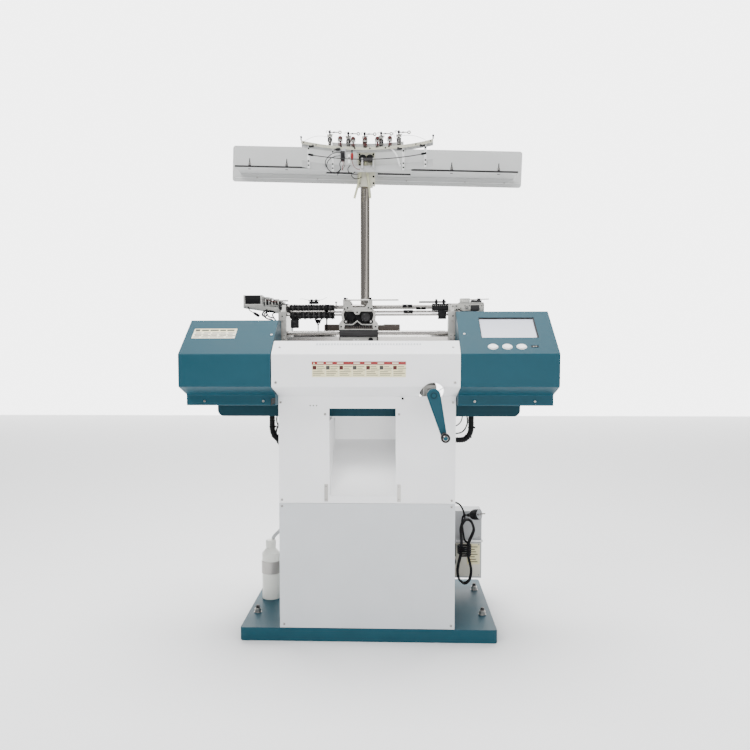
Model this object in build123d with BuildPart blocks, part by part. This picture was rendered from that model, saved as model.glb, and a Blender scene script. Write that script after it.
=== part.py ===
"""Flat-bed glove knitting machine on a pedestal: a V needle bed, carriage, yarn rack and controls.

Millimetres, +Z up, the operator stands at -Y. X = 0 is midway between the outer ends of the side
covers, Y = 0 midway between the crank handle's tip and the back of the floor plate, Z = 0 the floor.
"""
from build123d import *
from math import asin, atan2, cos, degrees, hypot, pi, radians, sin, sqrt, tan
import os

# ---------------------------------------------------------------- driving dimensions
sheet = 2.0               # folded cabinet and cover sheet
thin_sheet = 1.5          # yarn rack and chute sheet
running_gap = 0.05        # radial clearance of a shaft, rod or pin in its bore
body_gap = 0.4            # air between pieces that move past each other
seam = 1.0                # visible joint between neighbouring covers and panels

base_length, base_depth, base_height = 812, 580, 42
base_x, base_back_y = -3.5, 415
base_wall, base_corner = 4, 12

cabinet_width, cabinet_x = 550, -7
cabinet_front_y, cabinet_back_y = -163, 325
deck_z = 707              # upper face of the cabinet's deck
front_panel_top_z, panel_split_z = 776, 441

beam_x = (-491.5, 478.5)
beam_y = (-75, 175)
beam_top_z = 750.5
beam_corner = 20

cover_half_length = 555
cover_front_y, cover_back_y = -315, 230
fold_z, chin_z = 907, 812             # top and bottom of the covers' front face
lip_y, lip_z = -220, 784              # where the chin runs back to the lower lip
left_crest_y, left_crest_z = -145, 1012
right_crest_y, right_crest_z = -108, 1039
white_x = (-280.5, 269.5)
white_edge_y, white_edge_z = -252, 946
fold_radius = 6

gap_y = 20                # vertical plane in which the two needle beds meet
bed_top_z, bed_gap = 978, 10
bed_length, bed_thickness = 116, 12   # run of a bed down its 45 degree slope, and its upright edge
rail_radius, rail_offset, rail_z = 6.5, 45, 975
left_frame_x = (-287, -275)
right_frame_x = (258, 270)
frame_y = (-37, 115)
frame_top_z, frame_crown_z = 1040, 1066
rod_radius, rod_offset = 4, 30
front_rods_z, rear_rods_z = (1062, 1034.5), (1059, 1047)

crank_x, crank_z = 191.5, 788
crank_reach_x, crank_reach_z = 30, -116
shaft_radius = 8
pulley_radius, belt_thickness, belt_width = 30, 1.5, 12
pulley_flange = 3                     # how far a pulley's flanges stand over its rim
belt_y, crank_belt_y = 135, 155       # front edges of the two belts
pulley_z, left_pulley_x, right_pulley_x = 945, -440, 430

post_x, post_y, post_radius, post_top_z = -27.5, 275, 16.85, 1640
tray_x, tray_y, tray_z = 12, 305, 1579
tray_length, tray_height, tray_tilt = 1041, 128, 1.8
shelf_depth, shelf_drop, shelf_half_gap, shelf_end = 120, 30, 150, 30
shelf_waist_depth, shelf_post_gap = 45, 45
arc_x, arc_middle_y, arc_radius, arc_half_chord = -15, 215, 317.5, 221.5
arc_beam_z = 1616

cord_diameter = 6.5

os.makedirs("parts", exist_ok=True)


# ---------------------------------------------------------------- small helpers
def save(name, *parts):
    """Write one node's STEP file, from one piece or from a group of separate pieces."""
    node = parts[0] if len(parts) == 1 else Compound([solid for part in parts for solid in part.solids()])
    node.label = name
    export_step(node, f"parts/{name}.step")


def corner_radii(points):
    """The round that each corner of a cord's or tube's route takes, from its shorter run and its turn."""
    radii = []
    for before, corner, after in zip(points, points[1:], points[2:]):
        arriving, leaving = Vector(*corner) - Vector(*before), Vector(*after) - Vector(*corner)
        half_turn = radians(arriving.get_angle(leaving)) / 2
        radii.append(0.45 * min(arriving.length, leaving.length) / tan(half_turn))
    return radii


def block(x, y, z, mode=Mode.ADD):
    """A box between two X, two Y and two Z faces."""
    with Locations((sum(x) / 2, sum(y) / 2, sum(z) / 2)):
        Box(x[1] - x[0], y[1] - y[0], z[1] - z[0], mode=mode)


def rod(start, end, radius, mode=Mode.ADD, tip_radius=None):
    """A round bar between two points, tapered when a tip radius is given."""
    run = Vector(*end) - Vector(*start)
    with Locations(Plane(origin=start, z_dir=run)):
        if tip_radius is None:
            Cylinder(radius, run.length, align=(Align.CENTER, Align.CENTER, Align.MIN), mode=mode)
        else:
            Cone(radius, tip_radius, run.length, align=(Align.CENTER, Align.CENTER, Align.MIN), mode=mode)


def across(points, x, mode=Mode.ADD, radius=0):
    """A (y, z) outline carried along X between two faces."""
    with BuildSketch(Plane.YZ.offset(x[0])) as outline:
        Polygon(*points, align=None)
        if radius:
            fillet(outline.vertices(), radius)
    extrude(outline.sketch, amount=x[1] - x[0], mode=mode)


def deep(points, y, mode=Mode.ADD, radius=0):
    """An (x, z) outline carried along Y between two faces."""
    with BuildSketch(Plane(origin=(0, y[0], 0), x_dir=(-1, 0, 0), z_dir=(0, 1, 0))) as outline:
        Polygon(*[(-x, z) for x, z in reversed(points)], align=None)
        if radius:
            fillet(outline.vertices(), radius)
    extrude(outline.sketch, amount=y[1] - y[0], mode=mode)


def screw_head(place, normal, radius=4, height=2.5):
    """A low pan head seated on a face."""
    tip = Vector(*place) + Vector(*normal).normalized() * height
    rod(place, tuple(tip), radius, tip_radius=radius * 0.7)


# ---------------------------------------------------------------- floor plate and feet
base_front_y = base_back_y - base_depth
foot_places = [(base_x + sx * 375, y) for sx in (-1, 1) for y in (-10, 275)]
stud_radius = 6

with BuildPart() as base_plate:
    with BuildSketch():
        with Locations((base_x, base_back_y - base_depth / 2)):
            RectangleRounded(base_length, base_depth, base_corner)
    extrude(amount=base_height)
    with BuildSketch():
        with Locations((base_x, base_back_y - base_depth / 2)):
            RectangleRounded(base_length - 2 * base_wall, base_depth - 2 * base_wall, base_corner - base_wall)
    extrude(amount=base_height - base_wall, mode=Mode.SUBTRACT)
    fillet(base_plate.faces().sort_by(Axis.Z)[-1].edges(), 2.5)
    for x, y in foot_places:
        rod((x, y, base_height - 10), (x, y, base_height + 5), stud_radius + 0.5, mode=Mode.SUBTRACT)
save("base_plate", base_plate.part)

nut_height, washer_height = 10, 2
with BuildPart() as levelling_feet:
    for x, y in foot_places:
        rod((x, y, 0), (x, y, 7), 20)
        rod((x, y, 7), (x, y, base_height + washer_height + nut_height + 12), stud_radius)
        with BuildSketch(Plane.XY.offset(base_height + washer_height)) as nut:
            with Locations((x, y)):
                RegularPolygon(11, 6)
        extrude(nut.sketch, amount=nut_height)
        rod((x, y, base_height), (x, y, base_height + washer_height), 13)
save("levelling_feet", levelling_feet.part)

# ---------------------------------------------------------------- cabinet
cabinet_left = cabinet_x - cabinet_width / 2
cabinet_right = cabinet_x + cabinet_width / 2
panel_inner_y = cabinet_front_y + sheet
chute_x, chute_z = (-123.5, 82.5), (465, 738)
chute_back_y, chute_rise = 85, 151
fabric_slot_y = (-15, 60)

with BuildPart() as cabinet_shell:
    block((cabinet_left, cabinet_right), (panel_inner_y, cabinet_back_y), (base_height, deck_z - 4))
    block((cabinet_left + sheet, cabinet_right - sheet), (panel_inner_y - 1, cabinet_back_y - sheet),
          (base_height - 1, deck_z), mode=Mode.SUBTRACT)
    block((cabinet_left + 22, cabinet_right - 22), (cabinet_back_y - 10, cabinet_back_y + 1), (72, 686),
          mode=Mode.SUBTRACT)
    for x in (cabinet_left, cabinet_right - sheet):
        block((x, x + sheet), (panel_inner_y, beam_y[0] - seam), (deck_z - 4, front_panel_top_z - seam))
    for x in ((cabinet_left, cabinet_left + 20), (cabinet_right - 20, cabinet_right)):
        block(x, (panel_inner_y, panel_inner_y + sheet), (base_height, front_panel_top_z - seam))

with BuildPart() as cabinet_deck:
    block((cabinet_left, cabinet_right), (beam_y[0] - seam + 1.5, cabinet_back_y), (deck_z - 4, deck_z))
    block(chute_x, fabric_slot_y, (deck_z - 5, deck_z + 1), mode=Mode.SUBTRACT)

with BuildPart() as lower_front_panel:
    block((cabinet_left, cabinet_right), (cabinet_front_y, panel_inner_y), (base_height + seam, panel_split_z - seam / 2))
save("lower_front_panel", lower_front_panel.part)

with BuildPart() as upper_front_panel:
    block((cabinet_left, cabinet_right), (cabinet_front_y, panel_inner_y),
          (panel_split_z + seam / 2, front_panel_top_z))
    block(chute_x, (cabinet_front_y - 1, panel_inner_y + 1), chute_z, mode=Mode.SUBTRACT)
    for x in (-183, -173, -163):
        rod((x, cabinet_front_y - 1, 747), (x, panel_inner_y + 1, 747), 2, mode=Mode.SUBTRACT)
save("upper_front_panel", upper_front_panel.part)

with BuildPart() as fabric_chute:
    t = thin_sheet
    across([(panel_inner_y, chute_z[0] - t), (panel_inner_y, chute_z[1] - 40), (fabric_slot_y[1], deck_z - 4),
            (chute_back_y, deck_z - 4), (chute_back_y, chute_z[0] + chute_rise - t)],
           (chute_x[0] - t, chute_x[1] + t))
    across([(panel_inner_y - 1, chute_z[0]), (panel_inner_y - 1, deck_z), (chute_back_y - t, deck_z),
            (chute_back_y - t, chute_z[0] + chute_rise)], chute_x, mode=Mode.SUBTRACT)
save("fabric_chute", fabric_chute.part)

door_gap, hinge_radius, pin_radius = 1.0, 4, 2
door_z = (66, 692)
hinge_x, hinge_y = cabinet_left + 14, cabinet_back_y + 5.5
hinge_heights = (150, 600)
with BuildPart() as back_door:
    block((cabinet_left + 19, cabinet_right - 12), (cabinet_back_y + door_gap, cabinet_back_y + door_gap + sheet), door_z)
    for z in hinge_heights:
        block((hinge_x, hinge_x + 12), (cabinet_back_y + door_gap + sheet, hinge_y + 1.5), (z - 18, z + 18))
        rod((hinge_x, hinge_y, z - 18), (hinge_x, hinge_y, z + 18), hinge_radius)
        rod((hinge_x, hinge_y, z - 19), (hinge_x, hinge_y, z + 19), pin_radius + running_gap, mode=Mode.SUBTRACT)
    for z in (200, 560):
        for step in range(6):
            block((-87, 73), (cabinet_back_y, cabinet_back_y + 9), (z + 12 * step, z + 12 * step + 5), mode=Mode.SUBTRACT)
    block((cabinet_right - 52, cabinet_right - 40), (cabinet_back_y + door_gap + sheet, cabinet_back_y + 16), (360, 420))
save("back_door", back_door.part)

with BuildPart() as door_hinges:
    for z in hinge_heights:
        rod((hinge_x, hinge_y, z - 32), (hinge_x, hinge_y, z + 32), pin_radius)
        for low, high in ((z - 32, z - 18 - body_gap), (z + 18 + body_gap, z + 32)):
            block((hinge_x - 10, hinge_x + 2), (cabinet_back_y, hinge_y + 3), (low, high))
save("cabinet_shell", cabinet_shell.part, cabinet_deck.part, door_hinges.part)

# ---------------------------------------------------------------- beam that carries the needle beds
with BuildPart() as bed_beam:
    with BuildSketch(Plane(origin=(0, beam_y[0], 0), x_dir=(-1, 0, 0), z_dir=(0, 1, 0))):
        with Locations((-sum(beam_x) / 2, (deck_z + beam_top_z) / 2)):
            Rectangle(beam_x[1] - beam_x[0], beam_top_z - deck_z)
    extrude(amount=beam_y[1] - beam_y[0])
    fillet(bed_beam.edges().filter_by(Axis.Y).group_by(Axis.Z)[0], beam_corner)
    block((chute_x[0] - 30, chute_x[1] + 30), (beam_y[0] + 30, beam_y[1] - 60), (deck_z - 1, beam_top_z + 1),
          mode=Mode.SUBTRACT)
    rod((crank_x, crank_belt_y - pulley_flange, crank_z), (crank_x, crank_belt_y + belt_width + pulley_flange, crank_z),
        pulley_radius + pulley_flange + body_gap, mode=Mode.SUBTRACT)
save("bed_beam", bed_beam.part)


# ---------------------------------------------------------------- covers
def cover_outline(crest_y, crest_z):
    """The side covers' (y, z) outline, from the lower lip round the front and over the top."""
    return [(lip_y, beam_top_z), (lip_y, lip_z), (cover_front_y, chin_z), (cover_front_y, fold_z),
            (crest_y, crest_z), (cover_back_y, crest_z), (cover_back_y, beam_top_z)]


def cover(outline, x, inner_end):
    """A folded sheet shell with end walls, open where the bed's end frame and belts pass."""
    with BuildSketch(Plane.YZ.offset(x[0])) as outside:
        Polygon(*outline, align=None)
        fillet(outside.vertices(), fold_radius)
    extrude(outside.sketch, amount=x[1] - x[0])
    with BuildSketch(Plane.YZ.offset(x[0] + sheet)) as inside:
        Polygon(*outline, align=None)
        fillet(inside.vertices(), fold_radius)
        offset(amount=-sheet)
    extrude(inside.sketch, amount=x[1] - x[0] - 2 * sheet, mode=Mode.SUBTRACT)
    notch = sorted((inner_end, inner_end + (24 if inner_end > 0 else -30)))
    notch = (min(notch) - 1, max(notch)) if inner_end > 0 else (min(notch), max(notch) + 1)
    block(notch, (-85, 178), (beam_top_z - 1, 1060), mode=Mode.SUBTRACT)


left_cover_gap = 2.5
left_cover_x = (-cover_half_length, white_x[0] - left_cover_gap)
right_cover_x = (white_x[1] + seam, cover_half_length)
slope = Plane(origin=(0, cover_front_y, fold_z), x_dir=(1, 0, 0),
              z_dir=(0, -(right_crest_z - fold_z), right_crest_y - cover_front_y))
screen_x, screen_s = (336.5, 506.5), (89, 208)          # window in the sloped face, s up the slope
button_x, button_s, button_radius = (366, 407.5, 449), 38.5, 12.5
button_bore, button_travel = 13.0, 3
socket_x, socket_s, socket_size = 487.5, 40.5, (22, 12)

with BuildPart() as left_cover:
    cover(cover_outline(left_crest_y, left_crest_z), left_cover_x, left_cover_x[1])
save("left_cover", left_cover.part)

with BuildPart() as right_cover:
    cover(cover_outline(right_crest_y, right_crest_z), right_cover_x, right_cover_x[0])
    with BuildSketch(slope.offset(-3 * sheet)) as windows:
        with Locations((sum(screen_x) / 2, sum(screen_s) / 2)):
            Rectangle(screen_x[1] - screen_x[0], screen_s[1] - screen_s[0])
        with Locations(*[(x, button_s) for x in button_x]):
            Circle(button_bore)
        with Locations((socket_x, socket_s)):
            Rectangle(*socket_size)
    extrude(windows.sketch, amount=4 * sheet, mode=Mode.SUBTRACT)
save("right_cover", right_cover.part)

notch_radius = 36
with BuildPart() as front_cover:
    chin_y = panel_inner_y
    outline = [(white_edge_y, white_edge_z), (cover_front_y, fold_z), (cover_front_y, 811),
               (chin_y, front_panel_top_z)]
    with BuildSketch(Plane.YZ.offset(white_x[0])) as strip:
        with BuildLine():
            FilletPolyline(*outline, radius=fold_radius)
            offset(amount=sheet, side=Side.LEFT)
        make_face()
    extrude(strip.sketch, amount=white_x[1] - white_x[0])
    for x in ((white_x[0], white_x[0] + sheet), (white_x[1] - sheet, white_x[1])):
        across([(white_edge_y + 4, white_edge_z - 6), (cover_front_y + 3, fold_z - 2), (cover_front_y + 3, 811),
                (chin_y, 778.5), (chin_y, 800), (-190, 815), (-190, 900), (-225, 938)], x)
    rod((crank_x - 1, cover_front_y - 5, crank_z), (crank_x - 1, chin_y + 5, crank_z), notch_radius,
        mode=Mode.SUBTRACT)
save("front_cover", front_cover.part)

# ---------------------------------------------------------------- end frames, needle beds, rails and rods
rail_places = [(gap_y - rail_offset, rail_z), (gap_y + rail_offset, rail_z)]
rod_places = ([(gap_y - rod_offset, z) for z in front_rods_z] + [(gap_y + rod_offset, z) for z in rear_rods_z])
flange_spans = ((-297.5, -271.5), (250.5, 280.5))
end_frames = []
for wall_x, flange_x in zip((left_frame_x, right_frame_x), flange_spans):
    with BuildPart() as end_frame:
        across([(frame_y[0], beam_top_z), (frame_y[0], frame_top_z), (frame_y[0] + 14, frame_crown_z),
                (frame_y[1] - 30, frame_crown_z), (frame_y[1], 1000), (frame_y[1], beam_top_z)], wall_x)
        block(flange_x, (frame_y[0] - 8, frame_y[0] + 2), (bed_top_z - 32, frame_top_z + 3))
        block((flange_x[0], flange_x[1]), (frame_y[0] - 8, frame_y[1]), (beam_top_z, beam_top_z + 12))
        across([(-10, 800), (60, 800), (60, 850), (25, 885), (-10, 850)], (wall_x[0] - 1, wall_x[1] + 1),
               mode=Mode.SUBTRACT)
        middle = sum(flange_x) / 2
        rod((middle, frame_y[0] - 9, 1028), (middle, frame_y[0] + 1, 1028), 2.5, mode=Mode.SUBTRACT)
        with BuildSketch(Plane(origin=(middle, frame_y[0] - 9, 1011), x_dir=(1, 0, 0), z_dir=(0, -1, 0))) as oval:
            SlotOverall(11, 7)
        extrude(oval.sketch, amount=-10, mode=Mode.SUBTRACT)
        for y, z in rail_places:
            rod((wall_x[0] - 1, y, z), (wall_x[1] + 1, y, z), rail_radius + running_gap, mode=Mode.SUBTRACT)
        for y, z in rod_places:
            rod((wall_x[0] - 1, y, z), (wall_x[1] + 1, y, z), rod_radius + running_gap, mode=Mode.SUBTRACT)
    end_frames.append(end_frame.part)
save("end_frames", *end_frames)

bed_x = (left_frame_x[1], right_frame_x[0])
with BuildPart() as needle_beds:
    for side in (-1, 1):
        top_y = gap_y + side * bed_gap / 2
        across([(top_y, bed_top_z), (top_y + side * 8, bed_top_z), (top_y + side * (8 + bed_length), bed_top_z - bed_length),
                (top_y + side * (bed_length - 4), bed_top_z - bed_length - bed_thickness),
                (top_y, bed_top_z - bed_thickness - 4)][::-side], bed_x)
save("needle_beds", needle_beds.part)

with BuildPart() as carriage_rails:
    for side, (y, z) in zip((-1, 1), rail_places):
        rod((left_frame_x[0], y, z), (right_frame_x[1], y, z), rail_radius)
        block(bed_x, sorted((y - side, y + side * 9.8)), (948, 962))

with BuildPart() as yarn_rods:
    for y, z in rod_places:
        rod((left_frame_x[0], y, z), (right_frame_x[1], y, z), rod_radius)
save("guide_rods", carriage_rails.part, yarn_rods.part)

# ---------------------------------------------------------------- carriage
slab_x = (-97, 25.5)
front_y, back_y = gap_y - rail_offset, gap_y + rail_offset     # the two rails' Y
bearing_half, bearing_z = 12.5, (966, 988)

with BuildPart() as carriage_slide:
    block(slab_x, (front_y - 65, front_y - bearing_half), (961, 983))
    block(slab_x, (front_y - bearing_half, front_y + bearing_half), bearing_z)
    block(slab_x, (front_y - 60, front_y - 22), (938, 961))
    rod((slab_x[0] - 1, front_y, rail_z), (slab_x[1] + 1, front_y, rail_z), rail_radius + running_gap, mode=Mode.SUBTRACT)
    knob_x, knob_z = 3, 951
    rod((knob_x, front_y - 61, knob_z), (knob_x, front_y - 40, knob_z), 3 + running_gap, mode=Mode.SUBTRACT)
save("carriage_slide", carriage_slide.part)

with BuildPart() as stitch_knob:
    rod((knob_x, front_y - 60 - body_gap, knob_z), (knob_x, front_y - 72, knob_z), 8, tip_radius=7)
    rod((knob_x, front_y - 60 - body_gap, knob_z), (knob_x, front_y - 41, knob_z), 3)
save("stitch_knob", stitch_knob.part)

plate_y = (-95, -89)
with BuildPart() as carriage_plate:
    deep([(-84.5, 1074), (-66, 1074), (-52, 1054), (-14, 1054), (-2, 1074), (9, 1074), (9, 1046), (-24, 1046),
          (-34, 1031), (-45, 1031), (-55, 1046), (-84.5, 1046)][::-1], plate_y, radius=1.5)
    for x, z in ((-70, 1052), (-4, 1052), (-39.5, 1038)):
        rod((x, plate_y[0] - 1, z), (x, plate_y[1] + 1, z), 2.2, mode=Mode.SUBTRACT)

housing_y = (-89, -45)
with BuildPart() as carriage_housing:
    deep([(slab_x[0], 983), (slab_x[1], 983), (slab_x[1] - 4, 1006), (8, 1048), (-84, 1048), (slab_x[0] + 4, 1006)],
         housing_y)
    for x in ((-76, -44), (-34, 0)):
        block(x, (housing_y[0] - 1, housing_y[1] - 6), (1007, 1040), mode=Mode.SUBTRACT)
    block((-78, 6), (housing_y[0] - 1, housing_y[0] + 10), (985, 1003), mode=Mode.SUBTRACT)
save("carriage_housing", carriage_housing.part)

rear_x = (-159, 97)
bridge_spans = ((-81, -64), (-22, -5))
bridge_z = (1074, 1079)
with BuildPart() as rear_carriage:
    block(rear_x, (back_y + bearing_half, back_y + 45), (955, 1004))
    block(slab_x, (back_y - bearing_half, back_y + bearing_half), bearing_z)
    rod((slab_x[0] - 1, back_y, rail_z), (slab_x[1] + 1, back_y, rail_z), rail_radius + running_gap, mode=Mode.SUBTRACT)
    belt_top = pulley_z + pulley_radius
    block((-60, -10), (back_y + 45, belt_y + belt_width), (belt_top + belt_thickness + body_gap, 990))
    block((-60, -10), (back_y + 45, belt_y + belt_width), (960, belt_top - body_gap))
save("rear_carriage", rear_carriage.part)

with BuildPart() as carriage_bridge:
    for x in bridge_spans:
        block(x, (plate_y[0], back_y + 33), bridge_z)
        block(x, (back_y + 25, back_y + 33), (1004, bridge_z[1]))
    rod((-84.5, plate_y[0] - 2.4, 1076.5), (91, plate_y[0] - 2.4, 1076.5), 2.4)
    for x in bridge_spans:
        rod((sum(x) / 2, -88, bridge_z[1]), (sum(x) / 2, -88, bridge_z[1] + 4), 4)
save("carriage_bridge", carriage_bridge.part, carriage_plate.part)

# ---------------------------------------------------------------- yarn feeders on the front rods
feeder_x, feeder_y = (-262, -117.5), (-35, 12)
rod_y = gap_y - rod_offset


def feeder(span_z, rod_z):
    """A feeder bar with the bore it slides on."""
    block(feeder_x, feeder_y, span_z)
    rod((feeder_x[0] - 1, rod_y, rod_z), (feeder_x[1] + 1, rod_y, rod_z), rod_radius + running_gap, mode=Mode.SUBTRACT)


with BuildPart() as upper_feeder:
    feeder((1046, 1068), front_rods_z[0])
    block((-198, -171), (-20, 8), (1068, 1080))
    for x in (-193, -176):
        rod((x, -6, 1080), (x, -6, 1084), 3)
    block((-147.5, -142.5), (12, 16), (986, 1060))
save("upper_feeder", upper_feeder.part)

with BuildPart() as lower_feeder:
    feeder((1019, 1043), front_rods_z[1])
    block((feeder_x[0] + 4, feeder_x[0] + 28), (-30, -2), (990, 1019))
    deep([(-186, 1019), (-180, 1019), (-173, 1005), (-166, 1019), (-160, 1019), (-171, 1001), (-171, 986),
          (-175, 986), (-175, 1001)][::-1], (6, 11))
save("lower_feeder", lower_feeder.part)

# ---------------------------------------------------------------- drive: motor, pulleys, belts, crank
pulley_y = (belt_y - 1.5, belt_y + belt_width + 1.5)


def pulley(x, z, y, radius):
    """A belt pulley with a flange each side."""
    rod((x, y[0], z), (x, y[1], z), radius)
    for edge in (y[0], y[1] - 1.2):
        rod((x, edge, z), (x, edge + 1.2, z), radius + pulley_flange)


def belt(x0, z0, x1, z1, y):
    """A closed belt round two equal pulleys."""
    turn = atan2(z1 - z0, x1 - x0)
    flat = Plane(origin=((x0 + x1) / 2, y, (z0 + z1) / 2), x_dir=(cos(turn), 0, sin(turn)), z_dir=(0, -1, 0))
    inner = pulley_radius + body_gap / 4
    with BuildSketch(flat) as loop:
        SlotCenterToCenter(hypot(x1 - x0, z1 - z0), 2 * (inner + belt_thickness))
        SlotCenterToCenter(hypot(x1 - x0, z1 - z0), 2 * inner, mode=Mode.SUBTRACT)
    extrude(loop.sketch, amount=-belt_width)


with BuildPart() as timing_belts:
    belt(left_pulley_x, pulley_z, right_pulley_x, pulley_z, belt_y)
    belt(crank_x, crank_z, right_pulley_x, pulley_z, crank_belt_y)
save("timing_belts", timing_belts.part)

cover_floor_z = beam_top_z + sheet
motor_y, motor_half = (0, 105), 43
with BuildPart() as main_motor:
    block((left_pulley_x - motor_half, left_pulley_x + motor_half), motor_y,
          (pulley_z - motor_half, pulley_z + motor_half))
    block((left_pulley_x - 50, left_pulley_x + 50), (motor_y[1], motor_y[1] + 8), (cover_floor_z, pulley_z + motor_half))
    block((left_pulley_x - 50, left_pulley_x + 50), (motor_y[0], motor_y[1]), (cover_floor_z, cover_floor_z + 8))
    rod((left_pulley_x, motor_y[1] - 60, pulley_z), (left_pulley_x, motor_y[1] + 9, pulley_z), 7 + running_gap,
        mode=Mode.SUBTRACT)
save("main_motor", main_motor.part)

with BuildPart() as drive_pulley:
    pulley(left_pulley_x, pulley_z, pulley_y, pulley_radius)
    rod((left_pulley_x, motor_y[1] - 58, pulley_z), (left_pulley_x, pulley_y[1], pulley_z), 7)
save("drive_pulley", drive_pulley.part)

crank_pulley_y = (crank_belt_y - 1.5, crank_belt_y + belt_width + 1.5)
with BuildPart() as main_shaft:
    pulley(right_pulley_x, pulley_z, pulley_y, pulley_radius)
    pulley(right_pulley_x, pulley_z, crank_pulley_y, pulley_radius)
    rod((right_pulley_x, 40, pulley_z), (right_pulley_x, crank_pulley_y[1], pulley_z), 7)
save("main_shaft", main_shaft.part)

roller_x, roller_y, roller_z, roller_radius = (-118, 77), 20, 800, 18
crank_bearing_y = ((-60, -42), (118, 133))
with BuildPart() as shaft_bearings:
    for y in crank_bearing_y:
        block((crank_x - 20, crank_x + 20), y, (beam_top_z, crank_z + 18))
        rod((crank_x, y[0] - 1, crank_z), (crank_x, y[1] + 1, crank_z), shaft_radius + running_gap, mode=Mode.SUBTRACT)
    for y in ((45, 60), (100, 115)):
        block((right_pulley_x - 20, right_pulley_x + 20), y, (cover_floor_z, pulley_z + 18))
        rod((right_pulley_x, y[0] - 1, pulley_z), (right_pulley_x, y[1] + 1, pulley_z), 7 + running_gap,
            mode=Mode.SUBTRACT)
    for x in ((roller_x[0] - 44, roller_x[0] - 34), (roller_x[1] + 34, roller_x[1] + 44)):
        block(x, (roller_y - 12, roller_y + 12), (beam_top_z, roller_z + 12))
        rod((x[0] - 1, roller_y, roller_z), (x[1] + 1, roller_y, roller_z), 5 + running_gap, mode=Mode.SUBTRACT)
save("shaft_bearings", shaft_bearings.part)

with BuildPart() as takedown_roller:
    rod((roller_x[0], roller_y, roller_z), (roller_x[1], roller_y, roller_z), roller_radius)
    rod((roller_x[0] - 46, roller_y, roller_z), (roller_x[1] + 46, roller_y, roller_z), 5)
save("takedown_roller", takedown_roller.part)

arm_y = (-343, -322)
handle_front_y = base_front_y - 250
handle_x, handle_z = crank_x + crank_reach_x, crank_z + crank_reach_z
handle_pin_radius = 5
with BuildPart() as crank_shaft:
    rod((crank_x, arm_y[1], crank_z), (crank_x, crank_pulley_y[1], crank_z), shaft_radius)
    pulley(crank_x, crank_z, crank_pulley_y, pulley_radius)
save("crank_shaft", crank_shaft.part)

with BuildPart() as crank_arm:
    with BuildSketch(Plane(origin=(0, arm_y[1], 0), x_dir=(1, 0, 0), z_dir=(0, -1, 0))) as arm:
        with Locations((crank_x, crank_z)):
            Circle(19.5)
        with Locations((handle_x, handle_z)):
            Circle(8.5)
        make_hull()
    extrude(arm.sketch, amount=arm_y[1] - arm_y[0])
    fillet(crank_arm.faces().sort_by(Axis.Y)[0].edges(), 5)

with BuildPart() as handle_pin:
    rod((handle_x, arm_y[0], handle_z), (handle_x, handle_front_y + 1.5, handle_z), handle_pin_radius)
    rod((handle_x, handle_front_y + 4, handle_z), (handle_x, handle_front_y, handle_z), 7.5, tip_radius=6)
save("crank_arm", crank_arm.part, handle_pin.part)

with BuildPart() as crank_handle:
    with BuildSketch(Plane.XZ.offset(-arm_y[0] + body_gap)) as grip:
        with Locations((handle_x, handle_z)):
            Circle(9.5)
    with BuildSketch(Plane.XZ.offset(-arm_y[0] + 40)) as belly:
        with Locations((handle_x, handle_z)):
            Circle(12)
    with BuildSketch(Plane.XZ.offset(-handle_front_y - 4 - body_gap)) as nose:
        with Locations((handle_x, handle_z)):
            Circle(13)
    loft([grip.sketch.faces()[0], belly.sketch.faces()[0], nose.sketch.faces()[0]])
    rod((handle_x, arm_y[0], handle_z), (handle_x, handle_front_y, handle_z), handle_pin_radius + running_gap,
        mode=Mode.SUBTRACT)
save("crank_handle", crank_handle.part)

# ---------------------------------------------------------------- controls in the right cover
screen_recess = 4
with BuildPart() as touch_screen:
    middle = (sum(screen_x) / 2, sum(screen_s) / 2)
    wide, tall = screen_x[1] - screen_x[0], screen_s[1] - screen_s[0]
    with BuildSketch(slope.offset(-screen_recess)) as glass:
        with Locations(middle):
            Rectangle(wide - 0.6, tall - 0.6)
    extrude(glass.sketch, amount=-30)
    with BuildSketch(slope.offset(-sheet)) as rim:
        with Locations(middle):
            Rectangle(wide + 12, tall + 10)
            Rectangle(wide - 0.6, tall - 0.6, mode=Mode.SUBTRACT)
    extrude(rim.sketch, amount=-6)
save("touch_screen", touch_screen.part)

with BuildPart() as panel_socket:
    with BuildSketch(slope.offset(-1)) as mouth:
        with Locations((socket_x, socket_s)):
            Rectangle(socket_size[0] - 0.4, socket_size[1] - 0.4)
            Rectangle(13, 5.5, mode=Mode.SUBTRACT)
    extrude(mouth.sketch, amount=-14)
    with BuildSketch(slope.offset(-15)) as back:
        with Locations((socket_x, socket_s)):
            Rectangle(socket_size[0] + 2, socket_size[1] + 2)
    extrude(back.sketch, amount=-3)

button_names = ("left_button", "middle_button", "right_button")
for name, x in zip(button_names, button_x):
    with BuildPart() as button:
        with BuildSketch(slope.offset(-12)) as cap:
            with Locations((x, button_s)):
                Circle(button_radius)
        extrude(cap.sketch, amount=15)
        fillet(button.faces().sort_by(Axis(slope.origin, slope.z_dir))[-1].edges(), 1.5)
        with BuildSketch(slope.offset(-12)) as stem:
            with Locations((x, button_s)):
                Circle(4)
        extrude(stem.sketch, amount=-10)
    save(name, button.part)

with BuildPart() as button_switches:
    with BuildSketch(slope.offset(-sheet)) as barrels:
        with Locations(*[(x, button_s) for x in button_x]):
            Circle(button_bore + 3)
            Circle(button_bore, mode=Mode.SUBTRACT)
    extrude(barrels.sketch, amount=-22)
    with BuildSketch(slope.offset(-17)) as floors:
        with Locations(*[(x, button_s) for x in button_x]):
            Circle(button_bore)
            Circle(4 + running_gap, mode=Mode.SUBTRACT)
    extrude(floors.sketch, amount=-10)
save("panel_switches", button_switches.part, panel_socket.part)

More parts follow.
